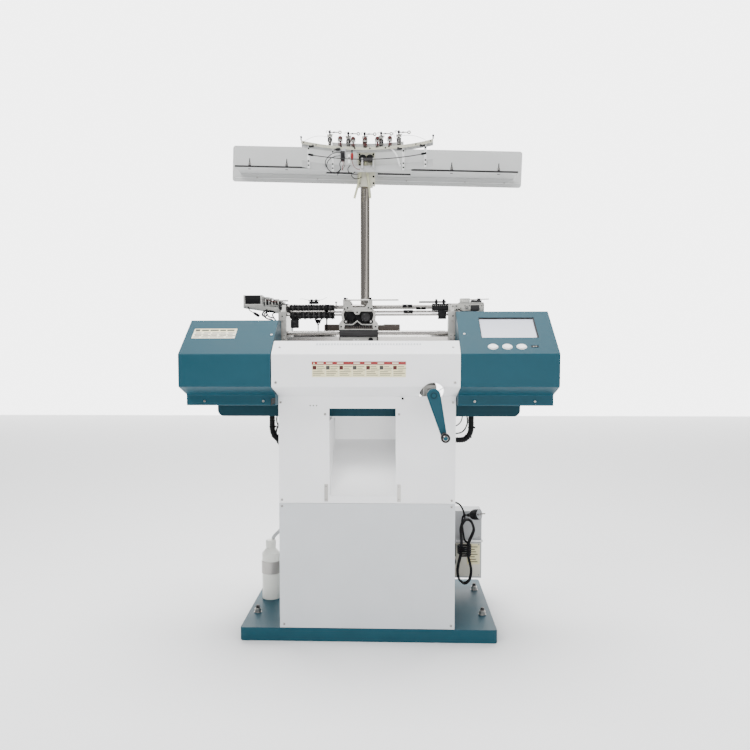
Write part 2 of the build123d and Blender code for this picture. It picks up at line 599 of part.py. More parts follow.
with BuildPart() as control_board:
    wall_x = cabinet_right - sheet
    block((wall_x - 12, wall_x), (60, 290), (180, 600))
    for z, depth in ((220, 60), (330, 45), (430, 70), (530, 35)):
        block((wall_x - 12 - depth, wall_x - 12), (90, 260), (z, z + 60))
save("control_board", control_board.part)

# ---------------------------------------------------------------- units at the ends of the rods
with BuildPart() as change_motor:
    frame_x = flange_spans[0]
    deep([(-420, 1058), (-420, 1071), (frame_x[1], 1071), (frame_x[1], frame_crown_z),
          (frame_x[0] - 4, frame_crown_z), (frame_x[0] - 14, 1040)][::-1], (5, 45))
    block((-420, -358), (8, 42), (1071, 1101))
    block((-358, -352), (6, 44), (1071, 1101))
    block((-350, -300), (8, 40), (1071, 1078))
    rod((-352, 25, 1086), (-330, 25, 1086), 8)

with BuildPart() as change_lever:
    pivot = (-312, 25, 1078)
    rod(pivot, (pivot[0], pivot[1], pivot[2] + 10), 9)
    block((pivot[0], pivot[0] + 38), (pivot[1] - 4, pivot[1] + 4), (pivot[2] + 2, pivot[2] + 7))
save("change_motor", change_motor.part, change_lever.part)

stop_rod_y, stop_rod_z = -6, 1075
with BuildPart() as sensor_bracket:
    block((248, 368), (-15, 45), (frame_crown_z, frame_crown_z + 4))
    deep([(286, 1042), (368, 1042), (368, frame_crown_z), (272, frame_crown_z), (272, 1056)][::-1], (-15, -9))
    block((200, 257.5), (-18, 14), (1047, 1069))
    rod((199, rod_y, front_rods_z[0]), (262, rod_y, front_rods_z[0]), rod_radius + running_gap, mode=Mode.SUBTRACT)
    for x in (214, 238):
        block((x - 4, x + 4), (stop_rod_y - 6, stop_rod_y + 6), (1069, stop_rod_z + 6))
        rod((x - 5, stop_rod_y, stop_rod_z), (x + 5, stop_rod_y, stop_rod_z), 3 + running_gap, mode=Mode.SUBTRACT)
    block((219, 245), (-34, -18), (1019, 1048))
    block((219, 245), (-18 - 0.1, -15), (1040, 1060))
save("sensor_bracket", sensor_bracket.part)

with BuildPart() as stop_rod:
    rod((158, stop_rod_y, stop_rod_z), (246, stop_rod_y, stop_rod_z), 3)
save("stop_rod", stop_rod.part)

# ---------------------------------------------------------------- yarn rack on its post
with BuildPart() as rack_post:
    rod((post_x, post_y, deck_z), (post_x, post_y, post_top_z), post_radius)
    rod((post_x, post_y, deck_z + 10), (post_x, post_y, post_top_z + 1), post_radius - 2.6, mode=Mode.SUBTRACT)
    rod((post_x, post_y, deck_z), (post_x, post_y, deck_z + 10), 46)
    rod((post_x, post_y, deck_z + 10), (post_x, post_y, deck_z + 60), 24)
    rod((post_x, post_y, deck_z + 10), (post_x, post_y, deck_z + 61), post_radius - 2.6, mode=Mode.SUBTRACT)
save("rack_post", rack_post.part)

tilt = radians(tray_tilt)
tray = Plane(origin=(tray_x, tray_y, tray_z), x_dir=(cos(tilt), 0, -sin(tilt)), z_dir=(0, -1, 0))
shelf_y = -tray_height / 2 + shelf_drop
arc_local_x, post_local_x = arc_x - tray_x, post_x - tray_x
shelves = (((-tray_length / 2 + shelf_end, arc_local_x - shelf_half_gap), shelf_depth),
           ((arc_local_x - shelf_half_gap, post_local_x - shelf_post_gap), shelf_waist_depth),
           ((post_local_x + shelf_post_gap, arc_local_x + shelf_half_gap), shelf_waist_depth),
           ((arc_local_x + shelf_half_gap, tray_length / 2 - shelf_end), shelf_depth))
with BuildPart() as yarn_tray:
    with BuildSketch(tray) as wall:
        RectangleRounded(tray_length, tray_height, 10)
    extrude(wall.sketch, amount=thin_sheet)
    for span, depth in shelves:
        with BuildSketch(tray.offset(thin_sheet)) as shelf:
            with Locations((sum(span) / 2, shelf_y)):
                Rectangle(span[1] - span[0], thin_sheet)
        extrude(shelf.sketch, amount=depth)
        with BuildSketch(tray.offset(depth)) as lip:
            with Locations((sum(span) / 2, shelf_y - 4)):
                Rectangle(span[1] - span[0], 8)
        extrude(lip.sketch, amount=thin_sheet)
save("yarn_tray", yarn_tray.part)

cone_pin_x, cone_pin_reach = (-440, -310, 264, 426), 105
shelf_top = shelf_y + thin_sheet / 2
with BuildPart() as cone_pins:
    for x in cone_pin_x:
        foot = tray.from_local_coords((x, shelf_top, cone_pin_reach))
        disc = tray.from_local_coords((x, shelf_top + 4, cone_pin_reach))
        tip = tray.from_local_coords((x, shelf_top + 30, cone_pin_reach))
        rod(tuple(foot), tuple(disc), 12.5)
        rod(tuple(disc), tuple(tip), 3, tip_radius=1.5)
        under = tray.from_local_coords((x, shelf_top - thin_sheet, cone_pin_reach))
        nut_end = tray.from_local_coords((x, shelf_top - thin_sheet - 6, cone_pin_reach))
        rod(tuple(under), tuple(nut_end), 6)

plate_front_y = 243
arc_centre_y = arc_middle_y - arc_radius
arc_half_angle = asin(arc_half_chord / arc_radius)


def on_arc(x, radius):
    """Y of the arc of a given radius at an X."""
    return arc_centre_y + sqrt(radius ** 2 - (x - arc_x) ** 2)


clamp_x = (post_x - 27, post_x + 27)
with BuildPart() as post_clamps:
    for z in ((1503, 1539), (1586, 1622)):
        block(clamp_x, (plate_front_y + 3, tray_y - thin_sheet), z)
        rod((post_x, post_y, z[0] - 1), (post_x, post_y, z[1] + 1), post_radius + running_gap, mode=Mode.SUBTRACT)

with BuildPart() as rack_plate:
    block((-51.5, 9), (plate_front_y, plate_front_y + 3), (1497, 1624))
    for x in (-51.5, 6):
        nearest = min(abs(x - arc_x), abs(x + 3 - arc_x))
        block((x, x + 3), (on_arc(arc_x + nearest, arc_radius + 1.5) + 0.1, plate_front_y), (1560, 1624))
save("rack_clamp", rack_plate.part, post_clamps.part)


def arc_band(inner, outer, z, mode=Mode.ADD, half_angle=arc_half_angle):
    """An upright band on the rack's arc, between two radii and two heights."""
    reach = 2 * outer
    with BuildSketch(Plane.XY.offset(z[0])) as band:
        with Locations((arc_x, arc_centre_y)):
            Circle(outer)
            Circle(inner, mode=Mode.SUBTRACT)
        Polygon((arc_x, arc_centre_y), (arc_x + reach * sin(half_angle), arc_centre_y + reach * cos(half_angle)),
                (arc_x - reach * sin(half_angle), arc_centre_y + reach * cos(half_angle)), align=None,
                mode=Mode.INTERSECT)
    extrude(band.sketch, amount=z[1] - z[0], mode=mode)


lower_band_z = (1541, 1563)
with BuildPart() as tension_beam:
    arc_band(arc_radius, arc_radius + 1.5, lower_band_z)
    arc_band(arc_radius, arc_radius + 1.5, (arc_beam_z - 8, arc_beam_z + 8))
    arc_band(arc_radius - 20, arc_radius, (arc_beam_z, arc_beam_z + 1.5))
    arc_band(arc_radius - 1.5, arc_radius, (arc_beam_z + 1.5, arc_beam_z + 22), half_angle=0.4)
    for x in (-215, -136, 108, 182):
        with Locations(Location((x, on_arc(x, arc_radius - 1), 1577), (0, 0, -degrees(asin((x - arc_x) / arc_radius))))):
            Box(7, 3, 74)

arm_post_x = (-145.5, -83, -26.3, 31, 92.2)
arm_pivot_z, arm_length, arm_post_radius = 1667, 35, 3
post_ring, disc_ring = arc_radius - 6.3, arc_radius - 16
with BuildPart() as tension_posts:
    for x in arm_post_x:
        y = on_arc(x, post_ring)
        rod((x, y, arc_beam_z + 1.5), (x, y, 1660), 4.5)
        rod((x, y, 1660), (x, y, 1676), arm_post_radius)
        block((x - 8, x + 8), (y - 3, y + 4), (1638, 1650))
        rod((x, y - 10, arm_pivot_z), (x, y, arm_pivot_z), 1.5)
        rod((x, y - 10, arm_pivot_z), (x, y - 12, arm_pivot_z), 3)

arm_names = [f"tension_arm_{number}" for number in range(1, 6)]
for name, x in zip(arm_names, arm_post_x):
    y = on_arc(x, post_ring)
    with BuildPart() as arm:
        rod((x, y - 9.6, arm_pivot_z), (x, y - 4, arm_pivot_z), 4)
        rod((x + 2, y - 7, arm_pivot_z), (x + arm_length - 4, y - 7, arm_pivot_z), 1.5)
        rod((x + arm_length, y - 9, arm_pivot_z), (x + arm_length, y - 5, arm_pivot_z), 5)
        rod((x + arm_length, y - 10, arm_pivot_z), (x + arm_length, y - 4, arm_pivot_z), 2.8, mode=Mode.SUBTRACT)
        rod((x, y - 11, arm_pivot_z), (x, y - 3, arm_pivot_z), 1.5 + running_gap, mode=Mode.SUBTRACT)
    save(name, arm.part)

disc_x = (-110, -66, -24.5, 18, 61)
with BuildPart() as tension_discs:
    for x in disc_x:
        y = on_arc(x, disc_ring)
        rod((x, y, arc_beam_z + 1.5), (x, y, 1641), 3)
        rod((x, y - 8, 1648), (x, y + 3, 1648), 4)
        rod((x, y - 6, 1648), (x, y - 3.2, 1648), 8)
        rod((x, y - 2, 1648), (x, y + 1, 1648), 8)
        block((x - 4.5, x + 4.5), (y - 3.5, y + 2.5), (1638, 1644.5))
save("tension_posts", tension_posts.part, tension_discs.part)

wire_z, wire_radius = 1578, 1.5
wire_arc = arc_radius - 30
pivot_y = on_arc(arc_x, wire_arc) + 11
with BuildPart() as stop_wire:
    span = 0.7
    with BuildLine() as bow:
        middle = CenterArc((arc_x, arc_centre_y, wire_z), wire_arc, 90 - degrees(span), 2 * degrees(span))
    with BuildSketch(Plane(origin=bow.line @ 0, z_dir=bow.line % 0)) as section:
        Circle(wire_radius)
    sweep(section.sketch, path=bow.line)
    for side in (-1, 1):
        reach = Vector(arc_x + side * wire_arc * sin(span), arc_centre_y + wire_arc * cos(span), wire_z)
        along = Vector(side * cos(span), -sin(span), 0)
        rod(tuple(reach - along * 2), tuple(reach + along * 16), 3.5)
    block((arc_x - 16, arc_x + 16), (on_arc(arc_x, wire_arc) - 4, pivot_y + 4), (wire_z - 4, wire_z + 4))
    rod((arc_x - 17, pivot_y, wire_z), (arc_x + 17, pivot_y, wire_z), 2 + running_gap, mode=Mode.SUBTRACT)
save("stop_wire", stop_wire.part)

with BuildPart() as wire_pivot:
    rod((arc_x - 22, pivot_y, wire_z), (arc_x + 22, pivot_y, wire_z), 2)
    for x in (arc_x - 22, arc_x + 17):
        block((x, x + 5), (pivot_y - 6, on_arc(arc_x + 22, arc_radius)), (lower_band_z[1] - 13, wire_z + 6))
save("tension_beam", tension_beam.part, wire_pivot.part)

with BuildPart() as rack_fittings:
    for x, top, bottom in ((-28, (-36, 1572), (-64, 1455)), (-12, (-24, 1572), (-8, 1455))):
        rod((top[0], plate_front_y - 4, top[1]), (bottom[0], plate_front_y - 5, bottom[1]), 4)
    for x in (-35, -9):
        rod((x, 221, 1592), (x, plate_front_y, 1592), 12)
    for x, y in ((-205, 132), (-118, 178), (95, 178), (172, 136)):
        rod((x - 8, y, arc_beam_z - 4), (x + 8, y, arc_beam_z - 4), 4)
    block((-111, -91), (183, 198.5), (1570, 1615.8))
    rod((-70, 192, 1576), (-70, 192, 1600), 4.5)
    rod((-70, 192, 1600), (-70, 192, arc_beam_z), 2)
save("rack_fittings", rack_fittings.part, cone_pins.part)

# ---------------------------------------------------------------- side fittings: bottle, supply box, conduits
bottle_x, bottle_y, bottle_radius = -358, 155, 31
with BuildPart() as oil_bottle:
    rod((bottle_x, bottle_y, base_height), (bottle_x, bottle_y, 204), bottle_radius)
    rod((bottle_x, bottle_y, 204), (bottle_x, bottle_y, 222), bottle_radius, tip_radius=16)
    rod((bottle_x, bottle_y, 222), (bottle_x, bottle_y, 230), 13)
save("oil_bottle", oil_bottle.part)

with BuildPart() as bottle_cap:
    rod((bottle_x, bottle_y, 223), (bottle_x, bottle_y, 250), 17)
    rod((bottle_x, bottle_y, 222), (bottle_x, bottle_y, 230.4), 13 + running_gap, mode=Mode.SUBTRACT)
save("bottle_cap", bottle_cap.part)

with BuildPart() as bottle_band:
    rod((bottle_x, bottle_y, 133), (bottle_x, bottle_y, 176), bottle_radius + 0.3 + sheet)
    rod((bottle_x, bottle_y, 132), (bottle_x, bottle_y, 177), bottle_radius + 0.3, mode=Mode.SUBTRACT)
    block((bottle_x + bottle_radius + 1, cabinet_left), (bottle_y + 8, bottle_y + 10), (133, 176))
    block((cabinet_left - sheet, cabinet_left), (bottle_y + 8, bottle_y + 40), (125, 184))

supply_x, supply_y, supply_z = (cabinet_right, 392), (225, 318), (100, 343)
with BuildPart() as supply_box:
    block(supply_x, supply_y, supply_z)
    block((cabinet_right + 30, supply_x[1] + 4), (supply_y[0] - 6, supply_y[0]), (232, 240))
    block((cabinet_right + 70, supply_x[1] - 4), (supply_y[0] - 2, supply_y[0]), (150, 226))
save("supply_box", supply_box.part)


def conduit(points, radius):
    """A bent tube through a chain of points."""
    with BuildLine() as path:
        FilletPolyline(*points, radius=corner_radii(points))
    with BuildSketch(Plane(origin=path.line @ 0, z_dir=path.line % 0)) as section:
        Circle(radius)
    sweep(section.sketch, path=path.line)


with BuildPart() as conduits:
    conduit([(-326, 0, deck_z), (-326, 0, 648), (-304, 0, 622), (cabinet_left, 0, 622)], 10)
    conduit([(330, 0, deck_z), (330, 0, 650), (306, 0, 624), (cabinet_right, 0, 624)], 10)
    conduit([(-306, 40, deck_z), (-306, 40, 684), (-319, 40, 646), (-316, 40, 612), (-301, 40, 598),
             (cabinet_left, 40, 598)], 3)

# ---------------------------------------------------------------- supply lead, hanging in its hank
gland_z, lead_y = 378, 200
with BuildPart() as cord_gland:
    rod((cabinet_right, lead_y, gland_z), (cabinet_right + 4, lead_y, gland_z), 12)
    rod((cabinet_right + 4, lead_y, gland_z), (280, lead_y, gland_z), 8, tip_radius=5)
save("conduits", conduits.part, cord_gland.part)

cord_points = [(280, 200, 378), (298, 200, 378), (315, 200, 368), (325, 199, 350), (328, 198, 328)]
cord_radii = corner_radii(cord_points)
with BuildPart() as cord_tube:
    with BuildLine() as lead:
        FilletPolyline(*cord_points, radius=cord_radii)
    with BuildSketch(Plane(origin=lead.line @ 0, z_dir=lead.line % 0)):
        Circle(cord_diameter / 2)
    sweep(path=lead.line)
save("cord_tube", cord_tube.part)
print("cord corner radii", [round(radius, 1) for radius in cord_radii])
print("cord volume", round(cord_tube.part.volume), "section times length",
      round(pi * cord_diameter ** 2 / 4 * lead.wire().length))

with BuildPart() as cord_hank:
    with BuildSketch(Plane.XZ.offset(-lead_y + 33)) as figure:
        with Locations((337, 281)):
            Ellipse(25, 52)
        with Locations((327, 144)):
            Ellipse(27, 58)
        with Locations((327, 210)):
            Rectangle(42, 50)
    extrude(figure.sketch, amount=-35)
save("cord_hank", cord_hank.part)

plug_face = Vector(377, 164, 344)
plug_axis = Vector(0.72, -0.66, 0.2).normalized()
with BuildPart() as cord_plug:
    rod(tuple(plug_face - plug_axis * 34), tuple(plug_face), 18.5)
    rod(tuple(plug_face - plug_axis * 52), tuple(plug_face - plug_axis * 34), 6, tip_radius=16)
    across_plug = plug_axis.cross(Vector(0, 0, 1)).normalized()
    for side in (-1, 1):
        foot = plug_face + across_plug * (9.5 * side)
        rod(tuple(foot - plug_axis), tuple(foot + plug_axis * 19), 2.4)
save("cord_plug", cord_plug.part)

# ---------------------------------------------------------------- screws and chute straps
front = (0, -1, 0)
with BuildPart() as fasteners:
    for inset, z in ((7, 757), (9, 451), (9, 431), (13, 54)):
        screw_head((cabinet_left + inset, cabinet_front_y, z), front)
    for inset, z in ((9, 757), (11, 451), (11, 431), (11, 54)):
        screw_head((cabinet_right - inset, cabinet_front_y, z), front)
    for x in (-137, 93):
        screw_head((x, cabinet_front_y, 720), front)
    for x in (-268, 254):
        screw_head((x, cover_front_y, 824), front)
    slant = Vector(0, -(white_edge_z - fold_z), white_edge_y - cover_front_y).normalized()
    for x in (-260, 250):
        middle = Vector(x, (white_edge_y + cover_front_y) / 2, (white_edge_z + fold_z) / 2)
        screw_head(tuple(middle), tuple(slant), radius=3.5)
    for x in (chute_x[0] - 16, chute_x[1] + 5):
        block((x, x + 11), (cabinet_front_y - 2.5, cabinet_front_y), (447, 501))
    for x in (-500, -320, 320, 500):
        screw_head((x, lip_y, 764), front)
save("straps_and_screws", fasteners.part, bottle_band.part)
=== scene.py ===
import bpy
import bmesh
from math import cos, pi, sin, sqrt, tau
from mathutils import Matrix, Vector


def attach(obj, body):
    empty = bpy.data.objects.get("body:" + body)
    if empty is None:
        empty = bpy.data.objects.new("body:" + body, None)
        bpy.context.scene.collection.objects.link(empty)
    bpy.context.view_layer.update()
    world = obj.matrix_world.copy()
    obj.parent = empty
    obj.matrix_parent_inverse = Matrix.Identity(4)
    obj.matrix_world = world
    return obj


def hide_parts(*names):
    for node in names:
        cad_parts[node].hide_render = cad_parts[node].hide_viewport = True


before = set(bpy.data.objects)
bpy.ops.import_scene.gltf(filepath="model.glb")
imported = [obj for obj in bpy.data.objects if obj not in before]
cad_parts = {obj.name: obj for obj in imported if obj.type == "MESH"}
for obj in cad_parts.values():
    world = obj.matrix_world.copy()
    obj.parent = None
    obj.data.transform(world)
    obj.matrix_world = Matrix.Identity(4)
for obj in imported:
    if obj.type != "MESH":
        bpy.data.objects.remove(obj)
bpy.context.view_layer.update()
scene = bpy.context.scene

# camera
view = {"place": (0.0789, -2.6787, 0.9129), "yaw": -0.04, "pitch": 0.065, "roll": -0.0009, "lens": 39.09,
        "shift": (0.01733, 0.04)}
lens = bpy.data.cameras.new("camera")
lens.lens, lens.sensor_width = view["lens"], 36
lens.shift_x, lens.shift_y = view["shift"]
lens.clip_end = 50
eye = bpy.data.objects.new("camera", lens)
scene.collection.objects.link(eye)
scene.camera = eye
ahead = Vector((sin(view["yaw"]) * cos(view["pitch"]), cos(view["yaw"]) * cos(view["pitch"]),
                -sin(view["pitch"])))
eye.location = view["place"]
eye.rotation_mode = "QUATERNION"
turned = ahead.to_track_quat("-Z", "Y").to_matrix() @ Matrix.Rotation(view["roll"], 3, "Z")
eye.rotation_quaternion = turned.to_quaternion()


# looks
looks = {}


# A material whose colour, gloss and surface vary by noise in object space.
def look(name, colour, rough=0.45, metal=0.0, vary=0.06, bump=0.05, grain=60, stretch=(1, 1, 1), coat=0.0,
         through=0.0, alpha=1.0, dirt=0.0, shine=0.5):
    made = bpy.data.materials.new(name)
    made.use_nodes = True
    tree = made.node_tree
    face = tree.nodes["Principled BSDF"]
    where = tree.nodes.new("ShaderNodeTexCoord")
    scale = tree.nodes.new("ShaderNodeMapping")
    scale.inputs["Scale"].default_value = stretch
    tree.links.new(where.outputs["Object"], scale.inputs["Vector"])
    broad = tree.nodes.new("ShaderNodeTexNoise")
    broad.inputs["Scale"].default_value = grain * 0.12
    broad.inputs["Detail"].default_value = 4
    fine = tree.nodes.new("ShaderNodeTexNoise")
    fine.inputs["Scale"].default_value = grain * 8
    fine.inputs["Detail"].default_value = 2
    for noise in (broad, fine):
        tree.links.new(scale.outputs["Vector"], noise.inputs["Vector"])
    tint = tree.nodes.new("ShaderNodeValToRGB")
    tint.color_ramp.elements[0].position, tint.color_ramp.elements[1].position = 0.3, 0.7
    tint.color_ramp.elements[0].color = [c * (1 - vary) for c in colour] + [1]
    tint.color_ramp.elements[1].color = [min(1, c * (1 + vary)) for c in colour] + [1]
    tree.links.new(broad.outputs["Fac"], tint.inputs["Fac"])
    shade = tint.outputs["Color"]
    if dirt:
        soil = tree.nodes.new("ShaderNodeMix")
        soil.data_type = "RGBA"
        soil.inputs["B"].default_value = [c * 0.35 for c in colour] + [1]
        spots = tree.nodes.new("ShaderNodeValToRGB")
        spots.color_ramp.elements[0].position, spots.color_ramp.elements[1].position = 0.5, 0.75
        spots.color_ramp.elements[1].color = [dirt] * 3 + [1]
        tree.links.new(fine.outputs["Fac"], spots.inputs["Fac"])
        tree.links.new(spots.outputs["Color"], soil.inputs["Factor"])
        tree.links.new(shade, soil.inputs["A"])
        shade = soil.outputs["Result"]
    tree.links.new(shade, face.inputs["Base Color"])
    gloss = tree.nodes.new("ShaderNodeMapRange")
    gloss.inputs["To Min"].default_value = max(0.02, rough - 0.06)
    gloss.inputs["To Max"].default_value = min(1, rough + 0.08)
    tree.links.new(broad.outputs["Fac"], gloss.inputs["Value"])
    tree.links.new(gloss.outputs["Result"], face.inputs["Roughness"])
    relief = tree.nodes.new("ShaderNodeBump")
    relief.inputs["Strength"].default_value = bump
    relief.inputs["Distance"].default_value = 0.0006
    tree.links.new(fine.outputs["Fac"], relief.inputs["Height"])
    tree.links.new(relief.outputs["Normal"], face.inputs["Normal"])
    face.inputs["Metallic"].default_value = metal
    face.inputs["Specular IOR Level"].default_value = shine
    face.inputs["Coat Weight"].default_value = coat
    face.inputs["Coat Roughness"].default_value = 0.2
    face.inputs["Transmission Weight"].default_value = through
    face.inputs["Alpha"].default_value = alpha
    looks[name] = made
    return made


look("teal", (0.011, 0.056, 0.079), rough=0.45, vary=0.04, bump=0.09, grain=90, shine=0.1, coat=0.0)
look("tealDark", (0.007, 0.036, 0.05), rough=0.5, vary=0.05, bump=0.08, grain=90, shine=0.1)
look("white", (0.84, 0.84, 0.85), rough=0.45, vary=0.02, bump=0.06, grain=90, coat=0.1)
look("chuteWhite", (0.93, 0.93, 0.93), rough=0.4, vary=0.01, bump=0.03, grain=90)
# painted shade: a darker, cooler copy of the white paint, standing in for the shade on the lower front
# panel and the cover vents
look("shadedWhite", (0.55, 0.57, 0.59), rough=0.5, vary=0.02, bump=0.06, grain=90, shine=0.3)
look("rackGrey", (0.5, 0.505, 0.5), rough=0.5, vary=0.03, bump=0.05, grain=90, shine=0.2)
look("rackCream", (0.5, 0.49, 0.4), rough=0.5, vary=0.04, bump=0.05, grain=90, shine=0.2)
look("chrome", (0.33, 0.315, 0.3), rough=0.16, metal=1, vary=0.05, bump=0.02, grain=40,
     stretch=(0.3, 4, 4))
look("post", (0.3, 0.275, 0.25), rough=0.16, metal=1, vary=0.02, bump=0.0, grain=40, stretch=(4, 4, 0.3))
look("steel", (0.2, 0.198, 0.19), rough=0.34, metal=1, vary=0.12, bump=0.06, grain=60,
     stretch=(0.4, 3, 3))
look("cast", (0.44, 0.43, 0.4), rough=0.42, metal=0.75, vary=0.12, bump=0.18, grain=80, dirt=0.25)
look("aluminium", (0.36, 0.355, 0.335), rough=0.38, metal=0.8, vary=0.08, bump=0.05, grain=70, dirt=0.12)
look("gunmetal", (0.035, 0.034, 0.035), rough=0.45, metal=0.4, vary=0.25, bump=0.2, grain=60, shine=0.15)
look("blackSteel", (0.008, 0.008, 0.009), rough=0.45, metal=0.1, vary=0.3, bump=0.25, grain=70,
     shine=0.08)
look("brownSteel", (0.085, 0.07, 0.06), rough=0.45, metal=0.6, vary=0.15, bump=0.15, grain=60)
look("zinc", (0.36, 0.35, 0.335), rough=0.3, metal=1, vary=0.1, bump=0.05, grain=80)
look("blackPlastic", (0.009, 0.009, 0.01), rough=0.42, vary=0.2, bump=0.12, grain=90, shine=0.1)
look("rubber", (0.012, 0.012, 0.013), rough=0.6, vary=0.25, bump=0.2, grain=90, shine=0.15)
look("cable", (0.007, 0.007, 0.008), rough=0.36, vary=0.2, bump=0.08, grain=120, coat=0.0, shine=0.12)
look("greyPlastic", (0.36, 0.37, 0.38), rough=0.45, vary=0.06, bump=0.1, grain=90)
look("whitePlastic", (0.80, 0.80, 0.79), rough=0.28, vary=0.02, bump=0.03, grain=60, coat=0.2)
look("screen", (0.46, 0.48, 0.56), rough=0.18, vary=0.03, bump=0.01, grain=20, coat=0.6)
look("bottle", (0.74, 0.75, 0.70), rough=0.38, vary=0.03, bump=0.04, grain=60, through=0.12)
look("hose", (0.62, 0.62, 0.42), rough=0.3, vary=0.06, bump=0.03, grain=60, through=0.2)
look("labelYellow", (0.72, 0.66, 0.40), rough=0.5, vary=0.03, bump=0.02, grain=60)
look("labelPale", (0.78, 0.75, 0.58), rough=0.5, vary=0.03, bump=0.02, grain=60)
look("ink", (0.06, 0.055, 0.05), rough=0.6, vary=0.1, bump=0.02, shine=0.15)
look("red", (0.22, 0.008, 0.008), rough=0.35, vary=0.08, bump=0.03)
look("redBrown", (0.07, 0.018, 0.017), rough=0.4, vary=0.15, bump=0.05, shine=0.15)
look("wireRed", (0.14, 0.012, 0.01), rough=0.4, vary=0.1, bump=0.03)
look("cream", (0.60, 0.58, 0.50), rough=0.5, vary=0.05, bump=0.05)
look("dark", (0.006, 0.006, 0.007), rough=0.7, vary=0.2, bump=0.05, shine=0.15)


# mesh helpers
# Gathers solids given in millimetres into one piece that rides on a body.
class Build:
    def __init__(self, name, body="frame", finish="steel", slot=None, replaces=()):
        self.name, self.body, self.finish, self.slot, self.nodes = name, body, finish, slot, replaces
        self.mesh = bmesh.new()
        self.looks = [finish]

    # Gives faces another look.
    def mark(self, faces, finish):
        if finish and finish != self.finish:
            if finish not in self.looks:
                self.looks.append(finish)
            for face in faces:
                face.material_index = self.looks.index(finish)

    # A box between two X, Y and Z faces with rounded edges, turned about its middle.
    def box(self, x, y, z, edge=0.0, finish=None, turn=None):
        middle = Matrix.Translation(((x[0] + x[1]) / 2, (y[0] + y[1]) / 2, (z[0] + z[1]) / 2))
        size = Matrix.Diagonal((x[1] - x[0], y[1] - y[0], z[1] - z[0], 1))
        before = set(self.mesh.faces)
        made = bmesh.ops.create_cube(self.mesh, size=1, matrix=middle @ (turn or Matrix()) @ size)
        if edge:
            edges = {e for v in made["verts"] for e in v.link_edges}
            bmesh.ops.bevel(self.mesh, geom=list(edges), offset=edge, segments=2, affect="EDGES",
                            profile=0.5)
        self.mark(set(self.mesh.faces) - before, finish)
        return self

    # A round bar between two points, with a chamfer at its ends.
    def rod(self, start, end, radius, tip=None, sides=24, finish=None, edge=0.0):
        run = Vector(end) - Vector(start)
        place = Matrix.Translation((Vector(start) + Vector(end)) / 2) @ run.to_track_quat("Z",
                "Y").to_matrix().to_4x4()
        before = set(self.mesh.faces)
        made = bmesh.ops.create_cone(self.mesh, cap_ends=True, segments=sides, radius1=radius,
                                     radius2=radius if tip is None else tip, depth=run.length,
                                     matrix=place)
        if edge:
            caps = {e for v in made["verts"] for f in v.link_faces if len(f.verts) > 4 for e in f.edges}
            bmesh.ops.bevel(self.mesh, geom=list(caps), offset=edge, segments=2, affect="EDGES",
                            profile=0.5)
        self.mark(set(self.mesh.faces) - before, finish)
        return self

    # A round wire through a chain of points.
    def tube(self, points, radius, sides=10, finish=None, closed=False):
        path = [Vector(p) for p in points]
        count = len(path)
        rings, side = [], None
        for i, place in enumerate(path):
            ahead = path[(i + 1) % count] if closed or i + 1 < count else place
            behind = path[i - 1] if closed or i else place
            along = (ahead - behind).normalized()
            if side is None:
                side = along.orthogonal().normalized()
            side = (side - along * side.dot(along)).normalized()
            up = along.cross(side)
            reach = radius[i] if isinstance(radius, (list, tuple)) else radius
            rings.append([self.mesh.verts.new(place + side * reach * cos(tau * k / sides)
                                              + up * reach * sin(tau * k / sides)) for k in range(sides)])
        faces = []
        for i in range(count if closed else count - 1):
            a, b = rings[i], rings[(i + 1) % count]
            for k in range(sides):
                faces.append(self.mesh.faces.new((a[k], a[(k + 1) % sides], b[(k + 1) % sides], b[k])))
        if not closed:
            faces.append(self.mesh.faces.new(rings[0][::-1]))
            faces.append(self.mesh.faces.new(rings[-1]))
        self.mark(faces, finish)
        return self

    # An outline carried along one axis: (y, z) along x, (x, z) along y, (x, y) along z.
    def prism(self, outline, axis, span, edge=0.0, finish=None):
        def place(a, b, c):
            return {"x": (c, a, b), "y": (a, c, b), "z": (a, b, c)}[axis]
        before = set(self.mesh.faces)
        ends = [[self.mesh.verts.new(place(a, b, c)) for a, b in outline] for c in span]
        sides = [self.mesh.faces.new((ends[0][i - 1], ends[0][i], ends[1][i], ends[1][i - 1]))
                 for i in range(len(outline))]
        caps = [self.mesh.faces.new(ends[0]), self.mesh.faces.new(ends[1][::-1])]
        bmesh.ops.recalc_face_normals(self.mesh, faces=sides + caps)
        if edge:
            rims = {e for f in caps for e in f.edges}
            bmesh.ops.bevel(self.mesh, geom=list(rims), offset=edge, segments=2, affect="EDGES",
                            profile=0.5)
        self.mark(set(self.mesh.faces) - before, finish)
        return self

    # A (radius, height) profile turned about an axis through a place.
    def lathe(self, profile, place, axis, sides=32, finish=None):
        turn = Vector(axis).to_track_quat("Z", "Y")
        rings = []
        for radius, height in profile:
            rings.append([self.mesh.verts.new(Vector(place)
                                              + turn @ Vector((radius * cos(tau * k / sides),
                          radius * sin(tau * k / sides), height))) for k in range(sides)])
        faces = [self.mesh.faces.new((a[k], a[(k + 1) % sides], b[(k + 1) % sides], b[k]))
                 for a, b in zip(rings, rings[1:]) for k in range(sides)]
        faces += [self.mesh.faces.new(rings[0][::-1]), self.mesh.faces.new(rings[-1])]
        self.mark(faces, finish)
        return self

    # A coil spring between two points.
    def spring(self, start, end, radius, wire, turns, finish=None):
        run = Vector(end) - Vector(start)
        turn = run.to_track_quat("Z", "Y")
        steps = int(turns * 12)
        points = [Vector(start) + turn @ Vector((radius * cos(tau * turns * i / steps),
                  radius * sin(tau * turns * i / steps),
                  run.length * i / steps)) for i in range(steps + 1)]
        return self.tube(points, wire, sides=6, finish=finish)

